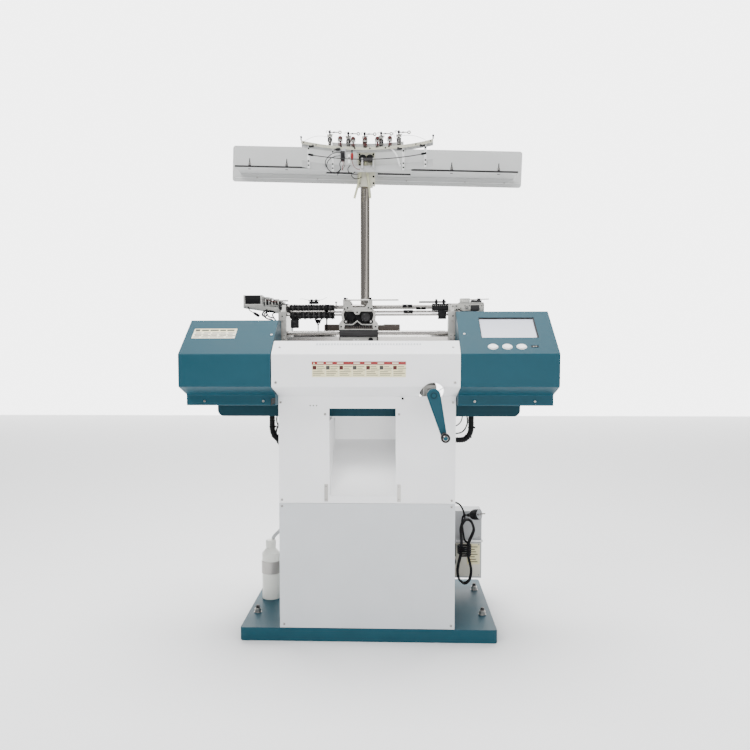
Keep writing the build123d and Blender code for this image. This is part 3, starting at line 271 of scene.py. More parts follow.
    # A cap screw with a dark socket.
    def screw(self, place, normal, radius=3.5, height=2.2, finish=None, socket="dark"):
        tip = Vector(place) + Vector(normal).normalized() * height
        self.rod(place, tip, radius, sides=18, finish=finish, edge=min(0.6, radius * 0.2))
        up = Vector(normal).normalized() * 0.06
        return self.rod(tip - up * 3, tip + up, radius * 0.45, sides=6, finish=socket)

    # Turns what was gathered into an object in metres.
    def done(self, sharp=0.6):
        bmesh.ops.scale(self.mesh, vec=(0.001,) * 3, verts=self.mesh.verts)
        data = bpy.data.meshes.new(self.name)
        self.mesh.to_mesh(data)
        self.mesh.free()
        for finish in self.looks:
            data.materials.append(looks[finish])
        data.shade_smooth()
        data.set_sharp_from_angle(angle=sharp)
        made = bpy.data.objects.new(self.name, data)
        scene.collection.objects.link(made)
        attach(made, self.body)
        if self.nodes:
            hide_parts(*self.nodes)
        return made


# A chain of points rounded by a Catmull-Rom curve.
def smooth(points, steps=8):
    path = [Vector(p) for p in points]
    path = [path[0] * 2 - path[1]] + path + [path[-1] * 2 - path[-2]]
    out = []
    for a, b, c, d in zip(path, path[1:], path[2:], path[3:]):
        for i in range(steps):
            t = i / steps
            out.append(0.5 * ((2 * b) + (c - a) * t + (2 * a - 5 * b + 4 * c - d) * t * t
                              + (3 * b - a - 3 * c + d) * t ** 3))
    return out + [path[-2]]


# supply lead: hank and plug
lead = {"exit": (280, 200, 378), "thickness": 6.5, "turns": 4, "rise": 7.5, "wraps": 4.5, "wrapRise": 7.6}
ringLeft = [(330, 322), (320, 308), (314, 288), (315, 264), (317, 240), (315, 215), (313, 192),
            (307, 166),
            (303, 138), (308, 108), (326, 92), (345, 106), (351, 138), (346, 168), (340, 192), (339, 215),
            (342, 240), (352, 264), (360, 288), (352, 312), (341, 322)]
ring = [Vector((x, 0, z)) for x, z in ringLeft]
loop = smooth([Vector(p) for p in ring] + [ring[0]], 3)[:-1]
route = smooth([(280, 200, 378), (298, 200, 378), (313, 200, 369), (323, 199, 352), (327, 198.5, 336)],
               5)[:-1]
coilSteps = len(loop)
for step in range(int(coilSteps * lead["turns"]) + 1):
    at = loop[step % coilSteps]
    done = step / coilSteps
    route.append(Vector((at.x + 1.6 * sin(2.3 * done), 198 - lead["rise"] * done,
                         at.z - 1.5 * sin(1.7 * done))))
foot = next(i for i, p in enumerate(loop) if p.z < 196)
for step in range(1, foot):
    at = loop[step]
    done = lead["turns"] + step / coilSteps
    route.append(Vector((at.x, 198 - lead["rise"] * done, at.z)))
middle, halfX, halfY = Vector((327, 182.5, 196)), 21.5, 25.5
wrapSteps = 28
for step in range(int(wrapSteps * lead["wraps"]) + 1):
    turn = -0.72 * pi + tau * step / wrapSteps
    c, s = cos(turn), sin(turn)
    reach = (abs(c / halfX) ** 3.2 + abs(s / halfY) ** 3.2) ** (-1 / 3.2)
    route.append(middle + Vector((reach * c, reach * s, lead["wrapRise"] * step / wrapSteps)))
route += smooth([(330, 211.5, 240), (326, 212.5, 262), (322, 213, 290), (321, 212.5, 312),
                 (324, 210.5, 326),
                 (331, 205.5, 332), (338.6, 199.1, 333.4)], 5)
curve = bpy.data.curves.new("supply_lead", "CURVE")
curve.dimensions = "3D"
curve.bevel_depth = lead["thickness"] / 2000
curve.bevel_resolution = 3
curve.resolution_u = 3
line = curve.splines.new("NURBS")
line.points.add(len(route) - 1)
for point, at in zip(line.points, route):
    point.co = (at.x / 1000, at.y / 1000, at.z / 1000, 1)
line.order_u = 3
line.use_endpoint_u = True
curve.materials.append(looks["cable"])
supplyLead = bpy.data.objects.new("supply_lead", curve)
scene.collection.objects.link(supplyLead)
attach(supplyLead, "frame")
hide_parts("cord_tube", "cord_hank")

plugFace, plugAxis = Vector((377, 164, 344)), Vector((0.72, -0.66, 0.2)).normalized()
plug = Build("plug", "frame", "blackPlastic", "black_plastic", ["cord_plug"])
tail = plugFace - plugAxis * 52
plug.lathe([(4.6, 0), (6, 1), (6, 3), (5.2, 4), (6.6, 6), (6.6, 8), (5.8, 9), (7.6, 11), (8, 13),
            (14, 19), (17.4, 24),
            (18.3, 29), (18.3, 50.5), (17.8, 51.6), (16.2, 52)], tail, plugAxis)
plug.lathe([(15.6, 0), (16, 0.5), (15.4, 1.2), (4, 1.2)], plugFace - plugAxis * 0.6, plugAxis,
           finish="greyPlastic")
sideways = plugAxis.cross(Vector((0, 0, 1))).normalized()
upward = sideways.cross(plugAxis).normalized()
for side in (-1, 1):
    foot = plugFace + sideways * 9.5 * side
    plug.rod(foot, foot + plugAxis * 3, 3.4, finish="blackPlastic")
    plug.rod(foot + plugAxis * 3, foot + plugAxis * 17.4, 2.4, finish="chrome")
    plug.rod(foot + plugAxis * 17.4, foot + plugAxis * 19, 2.4, tip=1.4, finish="chrome")
    plug.box((-4, 4), (-1.2, 1.2), (-9, 9), edge=0.5, finish="zinc",
             turn=Matrix.Translation(Vector(plugFace - plugAxis * 8 + upward * 16.4 * side)) @
             Matrix((sideways, upward, plugAxis)).transposed().to_4x4())
for turn in range(24):
    out = sideways * cos(tau * turn / 24) + upward * sin(tau * turn / 24)
    plug.rod(plugFace - plugAxis * 22 + out * 18, plugFace - plugAxis * 6 + out * 18, 0.9, sides=6)
plug = plug.done()
print("lead done")

# CAD nodes keep their shape and take a look
nodeLooks = {
    "base_plate": "teal", "levelling_feet": "zinc", "cabinet_shell": "white",
    # the lower front panel takes the darker copy of the white paint as painted shade
    "lower_front_panel": "shadedWhite",
    "upper_front_panel": "white", "fabric_chute": "chuteWhite", "back_door": "white",
    "bed_beam": "tealDark",
    "left_cover": "teal", "right_cover": "teal", "front_cover": "white", "end_frames": "aluminium",
    "needle_beds": "steel", "guide_rods": "chrome", "carriage_slide": "gunmetal",
    "stitch_knob": "blackPlastic",
    "carriage_housing": "cast", "carriage_bridge": "aluminium", "rear_carriage": "brownSteel",
    "upper_feeder": "blackSteel", "lower_feeder": "blackSteel", "timing_belts": "rubber",
    "main_motor": "gunmetal",
    "drive_pulley": "aluminium", "main_shaft": "steel", "shaft_bearings": "aluminium",
    "takedown_roller": "rubber",
    "crank_shaft": "steel", "crank_arm": "teal", "crank_handle": "blackPlastic", "touch_screen": "screen",
    "left_button": "whitePlastic", "middle_button": "whitePlastic", "right_button": "whitePlastic",
    "panel_switches": "blackPlastic", "control_board": "greyPlastic", "change_motor": "gunmetal",
    "sensor_bracket": "blackSteel", "stop_rod": "blackSteel", "rack_post": "post",
    "yarn_tray": "rackGrey",
    "rack_clamp": "rackCream", "tension_beam": "rackGrey", "tension_posts": "gunmetal",
    "stop_wire": "gunmetal",
    "rack_fittings": "blackPlastic", "oil_bottle": "bottle", "bottle_cap": "bottle",
    "supply_box": "greyPlastic",
    "conduits": "blackPlastic", "straps_and_screws": "zinc"}
for number in range(1, 6):
    nodeLooks[f"tension_arm_{number}"] = "chrome"
for node, finish in nodeLooks.items():
    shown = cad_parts[node]
    shown.data.materials.clear()
    shown.data.materials.append(looks[finish])

# repeats by Geometry Nodes
# Copies a unit built round the origin to each place, then keeps the result as a plain mesh.
def repeat(name, unit, places, finish, body="frame"):
    seeds = bpy.data.meshes.new(name + "_places")
    seeds.from_pydata([Vector(p) / 1000 for p in places], [], [])
    holder = bpy.data.objects.new(name + "_places", seeds)
    scene.collection.objects.link(holder)
    one = unit.done()
    one.parent = None
    group = bpy.data.node_groups.new(name, "GeometryNodeTree")
    group.interface.new_socket("Geometry", in_out="INPUT", socket_type="NodeSocketGeometry")
    unitSocket = group.interface.new_socket("Unit", in_out="INPUT", socket_type="NodeSocketObject")
    lookSocket = group.interface.new_socket("Look", in_out="INPUT", socket_type="NodeSocketMaterial")
    group.interface.new_socket("Geometry", in_out="OUTPUT", socket_type="NodeSocketGeometry")
    given, result = group.nodes.new("NodeGroupInput"), group.nodes.new("NodeGroupOutput")
    source = group.nodes.new("GeometryNodeObjectInfo")
    copies = group.nodes.new("GeometryNodeInstanceOnPoints")
    plain = group.nodes.new("GeometryNodeRealizeInstances")
    dress = group.nodes.new("GeometryNodeSetMaterial")
    group.links.new(given.outputs["Unit"], source.inputs["Object"])
    group.links.new(given.outputs["Geometry"], copies.inputs["Points"])
    group.links.new(source.outputs["Geometry"], copies.inputs["Instance"])
    group.links.new(copies.outputs["Instances"], plain.inputs["Geometry"])
    group.links.new(plain.outputs["Geometry"], dress.inputs["Geometry"])
    group.links.new(given.outputs["Look"], dress.inputs["Material"])
    group.links.new(dress.outputs["Geometry"], result.inputs["Geometry"])
    modifier = holder.modifiers.new(name, "NODES")
    modifier.node_group = group
    modifier[unitSocket.identifier] = one
    modifier[lookSocket.identifier] = looks[finish]
    graph = bpy.context.evaluated_depsgraph_get()
    data = bpy.data.meshes.new_from_object(holder.evaluated_get(graph), depsgraph=graph)
    data.set_sharp_from_angle(angle=0.6)
    made = bpy.data.objects.new(name, data)
    scene.collection.objects.link(made)
    bpy.data.objects.remove(holder)
    bpy.data.objects.remove(one)
    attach(made, body)
    return made


leftCrest, rightCrest, whiteCrest = (-145, 1012), (-108, 1039), (-252, 946)


coverFoot = {"y": -315, "z": 907}  # the lower edge of the sloped faces


# (y, z) at a run s up a cover's sloped face, raised off it.
def slope(crest, s, lift=0.0):
    rise, run = crest[1] - coverFoot["z"], crest[0] - coverFoot["y"]
    length = sqrt(rise * rise + run * run)
    return (coverFoot["y"] + run / length * s - rise / length * lift,
            coverFoot["z"] + rise / length * s + run / length * lift)


# A flat plate on a sloped face, between two X and two runs.
def patch(piece, crest, x, s, lift, finish=None, edge=0.0):
    outline = [slope(crest, s[0], lift[0]), slope(crest, s[1], lift[0]),
               slope(crest, s[1], lift[1]), slope(crest, s[0], lift[1])]
    return piece.prism(outline, "x", x, edge=edge, finish=finish)


# needle beds
needles = {"pitch": 3.6, "first": -262, "last": 246, "thick": 1.1}
count = int((needles["last"] - needles["first"]) / needles["pitch"])
for side, name in ((-1, "front_needles"), (1, "rear_needles")):
    unit = Build(name + "_unit", finish="steel")
    half = needles["thick"] / 2
    outline = [(side * 1.5, 0.2), (side * 1.5, 3), (side * 4, 4.6), (side * 8, 1.6), (side * 66, -56.5),
               (side * 66, -59), (side * 8, -0.6)]
    unit.prism(outline, "x", (-half, half))
    unit.rod((-half, side * 3.2, 4.4), (half, side * 3.2, 4.4), 1.4, sides=10)
    places = [(needles["first"] + needles["pitch"] * i, 20 + side * 5, 978) for i in range(count)]
    repeat(name, unit, places, "chrome")
bed = Build("bed_strips", finish="aluminium", slot="bed_steel")
for side in (-1, 1):
    for run in (26, 52, 84):
        y, z = 20 + side * (13 + run), 978 - run
        bed.prism([(y, z + 0.2), (y + side * 7, z - 6.8), (y + side * 9.5, z - 4.3),
                   (y + side * 2.5, z + 2.7)],
                  "x", (-272, 255), edge=0.5)
    for x in range(-255, 250, 46):
        bed.screw((x, 20 + side * 42, 978 - 29 + 2.5), (0, side, 1), 2.6, 1.4)
bed.done()
print("needle beds done")

# carriage
plateY = -95
trim = Build("carriage_trim", "carriage", "cast", "aluminium", ["carriage_housing"])
trim.box((-97, 25.5), (-89, -45), (983, 986), edge=0.6)
cheek = [(-97, 985), (-82, 985), (-79, 999), (-73, 1010), (-81, 1019), (-83, 1033), (-77, 1046),
         (-86, 1046), (-91, 1032),
         (-88, 1015), (-97, 1004)]
for outline in (cheek, [(-71.5 - x, z) for x, z in reversed(cheek)]):
    trim.prism(outline, "y", (-89, -46), edge=0.8)
trim.prism([(-92, 985), (20, 985), (10, 1047), (-82, 1047)], "y", (-51, -45.5), finish="gunmetal")
trim.box((-84, 12), (-88.9, -46), (1041, 1048), edge=1)
trim.rod((-60, -84, 1024), (-60, -52, 1024), 13, finish="blackSteel", edge=1.2)
trim.rod((-13, -86, 1023), (-13, -52, 1023), 14.5, finish="gunmetal", edge=1.2)
trim.box((-47, -24), (-80, -52), (1008, 1030), edge=2, finish="blackSteel")
for x in (-76, 3.5):
    trim.rod((x, -90, 1009), (x, -52, 1009), 7.4, finish="blackSteel", edge=0.8)
    trim.rod((x, -91, 1009), (x, -90, 1009), 3, finish="zinc")
caret = [(-80, 998), (-53, 998), (-39.5, 1009), (-26, 998), (8.5, 998), (8.5, 1001.5), (-25, 1001.5),
         (-39.5, 1013.5),
         (-54, 1001.5), (-80, 1001.5)]
trim.prism(caret, "y", (-91, -84), edge=0.4, finish="aluminium")
trim.box((-81, 9), (-86, -80), (985.2, 998), finish="blackSteel")
for step in range(28):
    x = -79.5 + step * 3.1
    trim.box((x, x + 1.7), (-87.5, -85.5), (986.5, 996.5 - 3.5 * (step * 7 % 3) / 2), edge=0.2,
             finish=("gunmetal", "brownSteel")[step % 2])
for x in ((-97, -84), (12.5, 25.5)):
    trim.screw((sum(x) / 2, -89, 993), (0, -1, 0), 3, 1.5, finish="gunmetal")
for x, z in ((-70, 1052), (-4, 1052), (-39.5, 1038), (-79, 1048.5), (4.6, 1048.5)):
    trim.screw((x, plateY, z), (0, -1, 0), 2.7, 2, finish="blackPlastic")
for x in (-78, 2.5):
    trim.rod((x, -97.4, 1078.6), (x, -97.4, 1084.4), 4, finish="blackPlastic", edge=0.8)
trim.tube(smooth([(-60, -95.6, 1062), (-50, -95.8, 1063), (-30, -95.8, 1063), (-18, -95.6, 1062)], 4),
          0.5,
          finish="gunmetal")
trim.box((-94, 22), (-85.9, -85.1), (939, 960.4), edge=0.3, finish="aluminium")
for x in (-50, -37):
    trim.screw((x, -85.9, 949), (0, -1, 0), 3.6, 1.6, finish="whitePlastic")
trim.box((-95, 23), (-90.7, -90), (962.5, 981.5), edge=0.3, finish="gunmetal")
for x in ((-158, -100), (42, 96)):
    trim.box(x, (78.5, 109), (1004.1, 1006.5), edge=0.8, finish="aluminium")
    for step in range(int((x[1] - x[0]) / 5)):
        at = x[0] + 2 + step * 5
        trim.box((at, at + 2.4), (76.2, 77.6), (957, 1002), edge=0.3, finish="brownSteel")
for x in ((-81, -64), (-22, -5)):
    for y in (-70, 10, 80):
        trim.screw((sum(x) / 2, y, 1079), (0, 0, 1), 3, 1.8, finish="blackPlastic")
for y in (-25, 65):
    for x in (-97.2, 25.4):
        trim.rod((x - 0.3, y, 975), (x + 0.3, y, 975), 9.6, finish="zinc")
trim.done()
print("carriage done")


# yarn feeders
# A feeder made of uneven plates on a bar.
def feederBar(name, node, z, seed):
    piece = Build(name, node, "blackSteel", "dark_steel", [node])
    middle = sum(z) / 2
    piece.box((-262, -117.5), (-25, 7), (middle - 9, middle + 9), edge=1)
    piece.box((-258, -150), (-31, -27), (middle - 3, middle + 1), edge=0.8, finish="gunmetal")
    for step in range(34):
        x = -261.6 + step * 4.25
        odd, even = abs(sin(seed + step * 2.4)), abs(sin(seed * 3 + step * 1.7))
        finish = ("blackSteel", "blackPlastic", "gunmetal", "blackSteel")[step * 3 % 4]
        piece.box((x, x + 2.2 + 1.4 * odd), (-28 - 7 * even, 8), (z[0] + 4 * odd, z[1] - 3 * even),
                  edge=0.4, finish=finish)
        if step % 3 == 1:
            piece.rod((x, -29 - 5 * odd, middle), (x, -20, middle), 2.4, sides=10, finish="gunmetal",
                      edge=0.4)
    for step in range(6):
        piece.screw((-252 + step * 25, -35.4, middle + 3 * (-1) ** step), (0, -1, 0), 2.6, 1.3,
                    finish="gunmetal")
    return piece


upper = feederBar("upper_feeder_look", "upper_feeder", (1046, 1068), 0.4)
upper.box((-200, -169), (-22, -8), (1069, 1078), edge=1, finish="blackSteel")
for x in (-192, -177):
    upper.rod((x, -14, 1078), (x, -14, 1085), 4, finish="blackPlastic", edge=0.8)
upper.rod((-203, -14, 1081), (-166, -14, 1081), 1.6, finish="gunmetal")
for path in ([(-199, -12, 1082), (-210, -14, 1084), (-222, -16, 1086), (-231, -17, 1085)],
             [(-169, -12, 1082), (-158, -14, 1083), (-149, -16, 1087), (-142, -17, 1091)]):
    upper.tube(smooth(path, 5), 0.6, finish="gunmetal")
upper.rod((-117.5, -12, 1060), (-104, -12, 1060), 2.6, finish="gunmetal")
upper.rod((-112, -12, 1060), (-112, -12, 1072), 1.8, finish="blackSteel")
upper.rod((-112, -12, 1072), (-112, -12, 1077), 3.4, finish="blackPlastic", edge=0.8)
upper.box((-147.5, -142.5), (12, 15.5), (986, 1060), edge=0.6)
upper.box((-150, -140), (8, 15.8), (1040, 1064), edge=0.8)
upper.box((-146.2, -143.8), (13, 15), (984.5, 990), edge=0.4, finish="zinc")
upper.done()
lower = feederBar("lower_feeder_look", "lower_feeder", (1019, 1043), 1.9)
lower.box((-258, -234), (-28, -3), (991, 1022), edge=1.6)
lower.prism([(-186, 1021), (-180, 1021), (-173, 1005), (-166, 1021), (-160, 1021), (-171, 1001),
             (-171, 986), (-175, 986),
             (-175, 1001)], "y", (6, 10.5), edge=0.4)
lower.box((-181, -165), (4, 12), (1008, 1020), edge=1)
lower.rod((-173, 8, 976), (-173, 8, 990), 1.5, finish="zinc")
lower.box((-259, -233), (-31, -28), (992, 1017), edge=1, finish="blackPlastic")
for z in (998, 1010):
    lower.screw((-246, -31, z), (0, -1, 0), 3, 1.4, finish="gunmetal")
lower.done()
print("feeders done")

# rod ends: left unit
left = Build("change_unit", "frame", "aluminium", "dark_steel", ["change_motor"])
left.prism([(-420, 1058), (-420, 1071), (-271.5, 1071), (-271.5, 1066), (-291.5, 1066), (-301.5, 1040)],
           "y", (5, 45), edge=0.8)
left.box((-418, -361), (8, 42), (1072, 1100.5), edge=1.2, finish="blackPlastic")
left.box((-413, -366), (7.2, 8.4), (1076, 1097), edge=0.5, finish="dark")
for x in ((-420, -414), (-364, -357)):
    left.box(x, (6.5, 43.5), (1071, 1101), edge=1.2, finish="aluminium")
left.box((-357, -350), (8, 42), (1071, 1096), edge=1, finish="steel")
left.rod((-352, 25, 1086), (-336, 25, 1086), 9, finish="steel", edge=1)
left.rod((-336, 25, 1086), (-326, 25, 1086), 4, finish="zinc")
left.box((-350, -300), (8, 40), (1071, 1077.5), edge=1, finish="cast")
left.rod((-312, 25, 1077.5), (-312, 25, 1088), 9, finish="cast", edge=1)
left.box((-316, -274), (20, 30), (1080, 1085), edge=1, finish="aluminium")
for x, y in ((-345, 13), (-332, 36), (-320, 13), (-303, 36), (-292, 12), (-280, 38)):
    left.screw((x, y, 1071 if x > -300 else 1077.5), (0, 0, 1), 3, 2.4, finish="gunmetal")
for x, z in ((-349, 1080), (-340, 1074), (-330, 1083), (-321, 1076), (-308, 1074)):
    left.box((x, x + 7), (1, 8), (z, z + 8), edge=0.8, finish=("steel", "gunmetal", "cast")[int(-x) % 3])
for step in range(14):
    x = -352 + step * 5.3
    odd = abs(sin(step * 1.9))
    left.box((x, x + 3.4), (-1 - 3 * odd, 8), (1064 + 5 * odd, 1077 + 9 * odd * (step < 9)), edge=0.5,
             finish=("gunmetal", "steel", "blackSteel", "cast")[step * 3 % 4])
left.box((-298, -263), (14, 30), (1052, 1069), edge=1.4, finish="blackSteel")
left.box((-290, -266), (10, 14), (1044, 1058), edge=1, finish="gunmetal")
left.box((-330, -290), (4, 12), (1073, 1080), edge=1, finish="blackSteel")
left.box((-306, -284), (4, 16), (1066, 1074), edge=1, finish="gunmetal")
for x in (-326, -310, -296):
    left.rod((x, 2, 1077), (x, 8, 1077), 4.4, finish="blackSteel", edge=0.6)
left.spring((-345, 4, 1092), (-318, 4, 1088), 2.4, 0.5, 9, finish="steel")
left.rod((-332, 3, 1064), (-271, 3, 1062), 2, finish="steel")
left.box((-300, -271), (-14, 4), (1053, 1070), edge=1.2, finish="gunmetal")
left.box((-296, -272), (-16, -13.5), (1056, 1067), edge=0.6, finish="blackSteel")
for x in (-291, -276):
    left.screw((x, -16, 1061.5), (0, -1, 0), 2.6, 1.4, finish="steel")
left.tube(smooth([(-348, 0, 1091), (-335, -3, 1092), (-318, -4, 1086), (-300, -4, 1082),
                  (-284, -6, 1072)], 5), 0.9,
          finish="steel")
left.tube(smooth([(-340, -1, 1084), (-325, -3, 1080), (-305, -6, 1076)], 5), 1.2, finish="redBrown")
bootPath = smooth([(-404, 3, 1062), (-401, 1, 1054), (-394, -1, 1047), (-384, -2, 1042)], 5)
left.tube(bootPath, 1.6, finish="cable")
left.tube([(-386, -2, 1043), (-381, -2, 1040), (-370, -3, 1033), (-366, -3, 1030.5)],
          [2.4, 4.6, 5.2, 4.4], sides=16,
          finish="blackPlastic")
for path, size in (([(-340, 2, 1052), (-352, -3, 1044), (-355, -6, 1034), (-346, -8, 1030),
                     (-337, -7, 1038)], 2.6),
                   ([(-320, 2, 1047), (-343, -4, 1043), (-349, -8, 1032), (-338, -12, 1022),
                     (-322, -16, 1018),
                     (-309, -20, 1005), (-301, -24, 985), (-299, -26, 962)], 2.4),
                   ([(-316, 0, 1045), (-334, -6, 1048), (-341, -10, 1040), (-331, -14, 1028),
                     (-314, -20, 1022),
                     (-304, -24, 1002), (-299.5, -20, 975), (-300, -14, 955)], 2.2),
                   ([(-312, 2, 1044), (-322, -5, 1036), (-316, -12, 1024), (-306, -16, 1010),
                     (-302, -10, 985),
                     (-303, -6, 958)], 2.0)):
    left.tube(smooth(path, 6), size, sides=10, finish="cable")
left.done()

# rod ends: right unit
right = Build("sensor_trim", "frame", "blackSteel", "dark_steel")
for step in range(8):
    right.rod((204 + step * 6.4, -18.6, 1064), (204 + step * 6.4, -18, 1064), 1.4, sides=10,
              finish="steel")
right.box((206, 250), (-19.6, -18), (1049, 1060), edge=0.5, finish="blackPlastic")
for x in (214, 238):
    right.rod((x, -6, 1081), (x, -6, 1084.5), 3.2, finish="blackPlastic", edge=0.6)
right.box((221, 243), (-36, -33.8), (1022, 1045), edge=0.8, finish="blackPlastic")
right.box((252, 284), (-24, -17), (1043, 1066), edge=1, finish="cast")
right.box((262, 282), (-27, -24), (1046, 1062), edge=0.8, finish="aluminium")
for x, z in ((266, 1050), (278, 1050), (266, 1060), (278, 1060)):
    right.screw((x, -27, z), (0, -1, 0), 2, 1.2, finish="gunmetal")
right.prism([(262, 1046), (286, 1040), (366, 1042), (366, 1070), (262, 1070)], "y", (-19, -15.2),
            edge=0.8, finish="cast")
right.prism([(283, 1008), (291, 1008), (318, 1040), (318, 1046), (283, 1046)], "y", (-24, -19.5),
            edge=0.8,
            finish="aluminium")
right.rod((286, -26, 1030), (286, -19, 1030), 4, finish="gunmetal", edge=0.6)
right.rod((312, -26, 1056), (312, -19, 1056), 5, finish="steel", edge=0.6)
right.box((324, 352), (-22, -19), (1046, 1064), edge=1, finish="gunmetal")
for x0, y, z in ((108, 50, 1047), (104, -10, 1062), (150, 50, 1059)):
    right.rod((x0, y, z), (x0 + 32, y, z), 5.6, finish="blackSteel", edge=0.8)
    right.screw((x0 + 16, y - 5, z), (0, -1, 0), 2, 1.6, finish="zinc")
right.box((286, 366), (-20, 42), (1070.1, 1073), edge=0.8, finish="aluminium")
right.box((290, 322), (-20, 8), (1073, 1086), edge=1.4, finish="cast")
right.box((326, 360), (-18, 20), (1073, 1080), edge=1.2, finish="gunmetal")
right.rod((318, -8, 1082), (384, -8, 1084), 1.8, finish="chrome")
right.rod((346, -8, 1083), (356, -8, 1083.4), 3.4, finish="gunmetal", edge=0.5)
for x in (292, 306, 320, 334, 348, 360):
    right.screw((x, -19, 1058 + 4 * (-1) ** int(x / 10)), (0, -1, 0), 2.4, 1.4, finish="steel")
for path, size in (([(284, -20, 1052), (296, -34, 1044), (314, -46, 1041), (334, -44, 1043),
                     (346, -32, 1046),
                     (352, -22, 1052)], 1.8),
                   ([(282, -20, 1046), (290, -40, 1032), (300, -56, 1041.6), (318, -60, 1041.8),
                     (334, -48, 1043)], 1.6),
                   ([(262, -22, 1042), (274, -34, 1028), (282, -38, 1010), (282.5, -38, 985),
                     (281, -30, 962)], 2.2)):
    right.tube(smooth(path, 6), size, finish="cable")
right.done()
frames = Build("end_frame_trim", "frame", "aluminium", "aluminium")
for x in (-284.5, 265.5):
    frames.screw((x, -45, 1028), (0, -1, 0), 2.4, 0.6, finish="gunmetal")
    frames.box((x - 10, x + 10), (-46, -45), (948, 972), edge=0.4, finish="cast")
    for dx in (-6, 6):
        frames.screw((x + dx, -46, 954), (0, -1, 0), 2.2, 1, finish="steel")
        frames.screw((x + dx, -46, 966), (0, -1, 0), 2.2, 1, finish="steel")
    for y in (-10, 40, 90):
        frames.screw((x - 4 if x < 0 else x - 1, y, 1066 if y < 90 else 1060), (0, 0, 1), 3.2, 2.4,
                     finish="gunmetal")
frames.done()
print("rod ends done")

# covers: label plates, vents, screws
marks = Build("cover_marks", "frame", "labelPale", "white_paint")
patch(marks, leftCrest, (-533.5, -402.5), (90, 147), (0.05, 0.35), finish="labelPale")
patch(marks, leftCrest, (-532, -404), (128, 145.5), (0.35, 0.5), finish="labelYellow")
patch(marks, leftCrest, (-529, -516), (131, 143), (0.5, 0.6), finish="ink")
for x in ((-510, -488), (-484, -458), (-454, -436), (-432, -410)):
    patch(marks, leftCrest, x, (133, 141), (0.5, 0.6), finish="ink")
for row in range(4):
    for part in range(5):
        x = -529 + 25 * part + 3 * (row % 2)
        patch(marks, leftCrest, (x, x + 17 + 3 * ((row + part) % 3)), (96 + 8 * row, 99.4 + 8 * row),
              (0.35, 0.45),
              finish="ink")
marks.box((-162, 112), (-315.4, -315.05), (839.5, 885.4), finish="labelPale")
marks.box((-162, 112), (-315.6, -315.4), (876, 885.4), finish="red")
marks.prism([(-158, 877.5), (-152, 877.5), (-155, 883.5)], "y", (-315.7, -315.6), finish="labelYellow")
for x in (-146, -120, -88, -40, -8, 30, 72):
    marks.box((x, x + 18), (-315.7, -315.6), (879, 882.4), finish="labelPale")
for column in range(7):
    x = -160.5 + 39 * column
    marks.box((x, x + 37.6), (-315.5, -315.4), (841, 875), finish="labelYellow")
    marks.box((x + 1, x + 12), (-315.62, -315.5), (862, 873), finish="ink" if column % 2 else "redBrown")
    for row in range(6):
        wide = 20 + 5 * sin(row * 2.1 + column)
        marks.box((x + 14 - 12 * (row > 2), x + 14 + wide - 4 * (row > 2)), (-315.62, -315.5),
                  (870 - row * 5, 871.6 - row * 5), finish="ink")
for x in (-293, 287):
    crest = leftCrest if x < 0 else rightCrest
    y, z = slope(crest, 110)
    rise, run = crest[1] - coverFoot["z"], crest[0] - coverFoot["y"]
    marks.screw((x, y, z), (0, -rise, run), 3.6, 1.6, finish="whitePlastic")
marks.done()
vent = Build("vent_unit", finish="white")
patch(vent, whiteCrest, (-2.6, 2.6), (0, 9), (0, 0.7), edge=0.3)
bmesh.ops.translate(vent.mesh, vec=(0, -coverFoot["y"], -coverFoot["z"]), verts=vent.mesh.verts)
y, z = slope(whiteCrest, 50)
# the vent bumps take the darker copy of the white paint as painted shade
repeat("cover_vents", vent, [(-150 + 8.7 * i, y, z) for i in range(36)], "shadedWhite")

screenTrim = Build("screen_trim", "frame", "blackPlastic", "black_plastic")
for x, s in (((336.5, 506.5), (204.5, 208)), ((336.5, 506.5), (89, 91)), ((336.5, 338.5), (89, 208)),
             ((502.5, 506.5), (89, 208))):
    patch(screenTrim, rightCrest, x, s, (-3.9, -0.6), finish="blackPlastic")
patch(screenTrim, rightCrest, (343, 498), (95, 200), (-3.85, -3.6), finish="screen")
for x in (366, 407.5, 449):
    y, z = slope(rightCrest, 38.5)
    normal = Vector((0, -132, 207)).normalized()
    screenTrim.lathe([(13, -1), (13.2, 0), (14.6, 0.5), (15, 0.05)], (x, y, z), normal, sides=36,
                     finish="whitePlastic")
patch(screenTrim, rightCrest, (478, 497), (36.5, 44.5), (-1.2, 0.3), finish="blackPlastic")
patch(screenTrim, rightCrest, (482, 493), (38.5, 42), (0.3, 0.5), finish="steel")
patch(screenTrim, rightCrest, (484, 491), (39.3, 41), (0.5, 0.6), finish="dark")
screenTrim.done(sharp=0.9)

sockets = Build("screw_sockets", "frame", "dark", "zinc")
for x, z in ((-275, 757), (259, 757), (-273, 451), (-273, 431), (257, 451), (257, 431), (-269, 54),
             (257, 54),
             (-137, 720), (93, 720)):
    sockets.rod((x, -165.6, z), (x, -165.45, z), 1.5, sides=6)
for x in (-268, 254):
    sockets.rod((x, -317.6, 824), (x, -317.45, 824), 1.5, sides=6)
for x in (-500, -320, 320, 500):
    sockets.rod((x, -222.6, 764), (x, -222.45, 764), 1.5, sides=6)
for x in (-134, 93):
    for z in (454, 494):
        sockets.screw((x, -165.5, z), (0, -1, 0), 2.6, 1.2, finish="zinc")
for x in (-183, -173, -163):
    sockets.rod((x, -163.3, 747), (x, -161.2, 747), 1.9, sides=14)
sockets.rod((104, -163, 775 - 6), (104, -167, 775 - 6), 3.6, finish="blackPlastic", edge=0.6)
sockets.box((-285.2, -283.1), (-300, 60), (757, 775), finish="dark")
sockets.done()
print("covers done")

# yarn rack
rackX, rackY = -15, -102.5


# Y on the rack's arc of a given radius.
def onArc(x, radius):
    return rackY + sqrt(radius * radius - (x - rackX) ** 2)


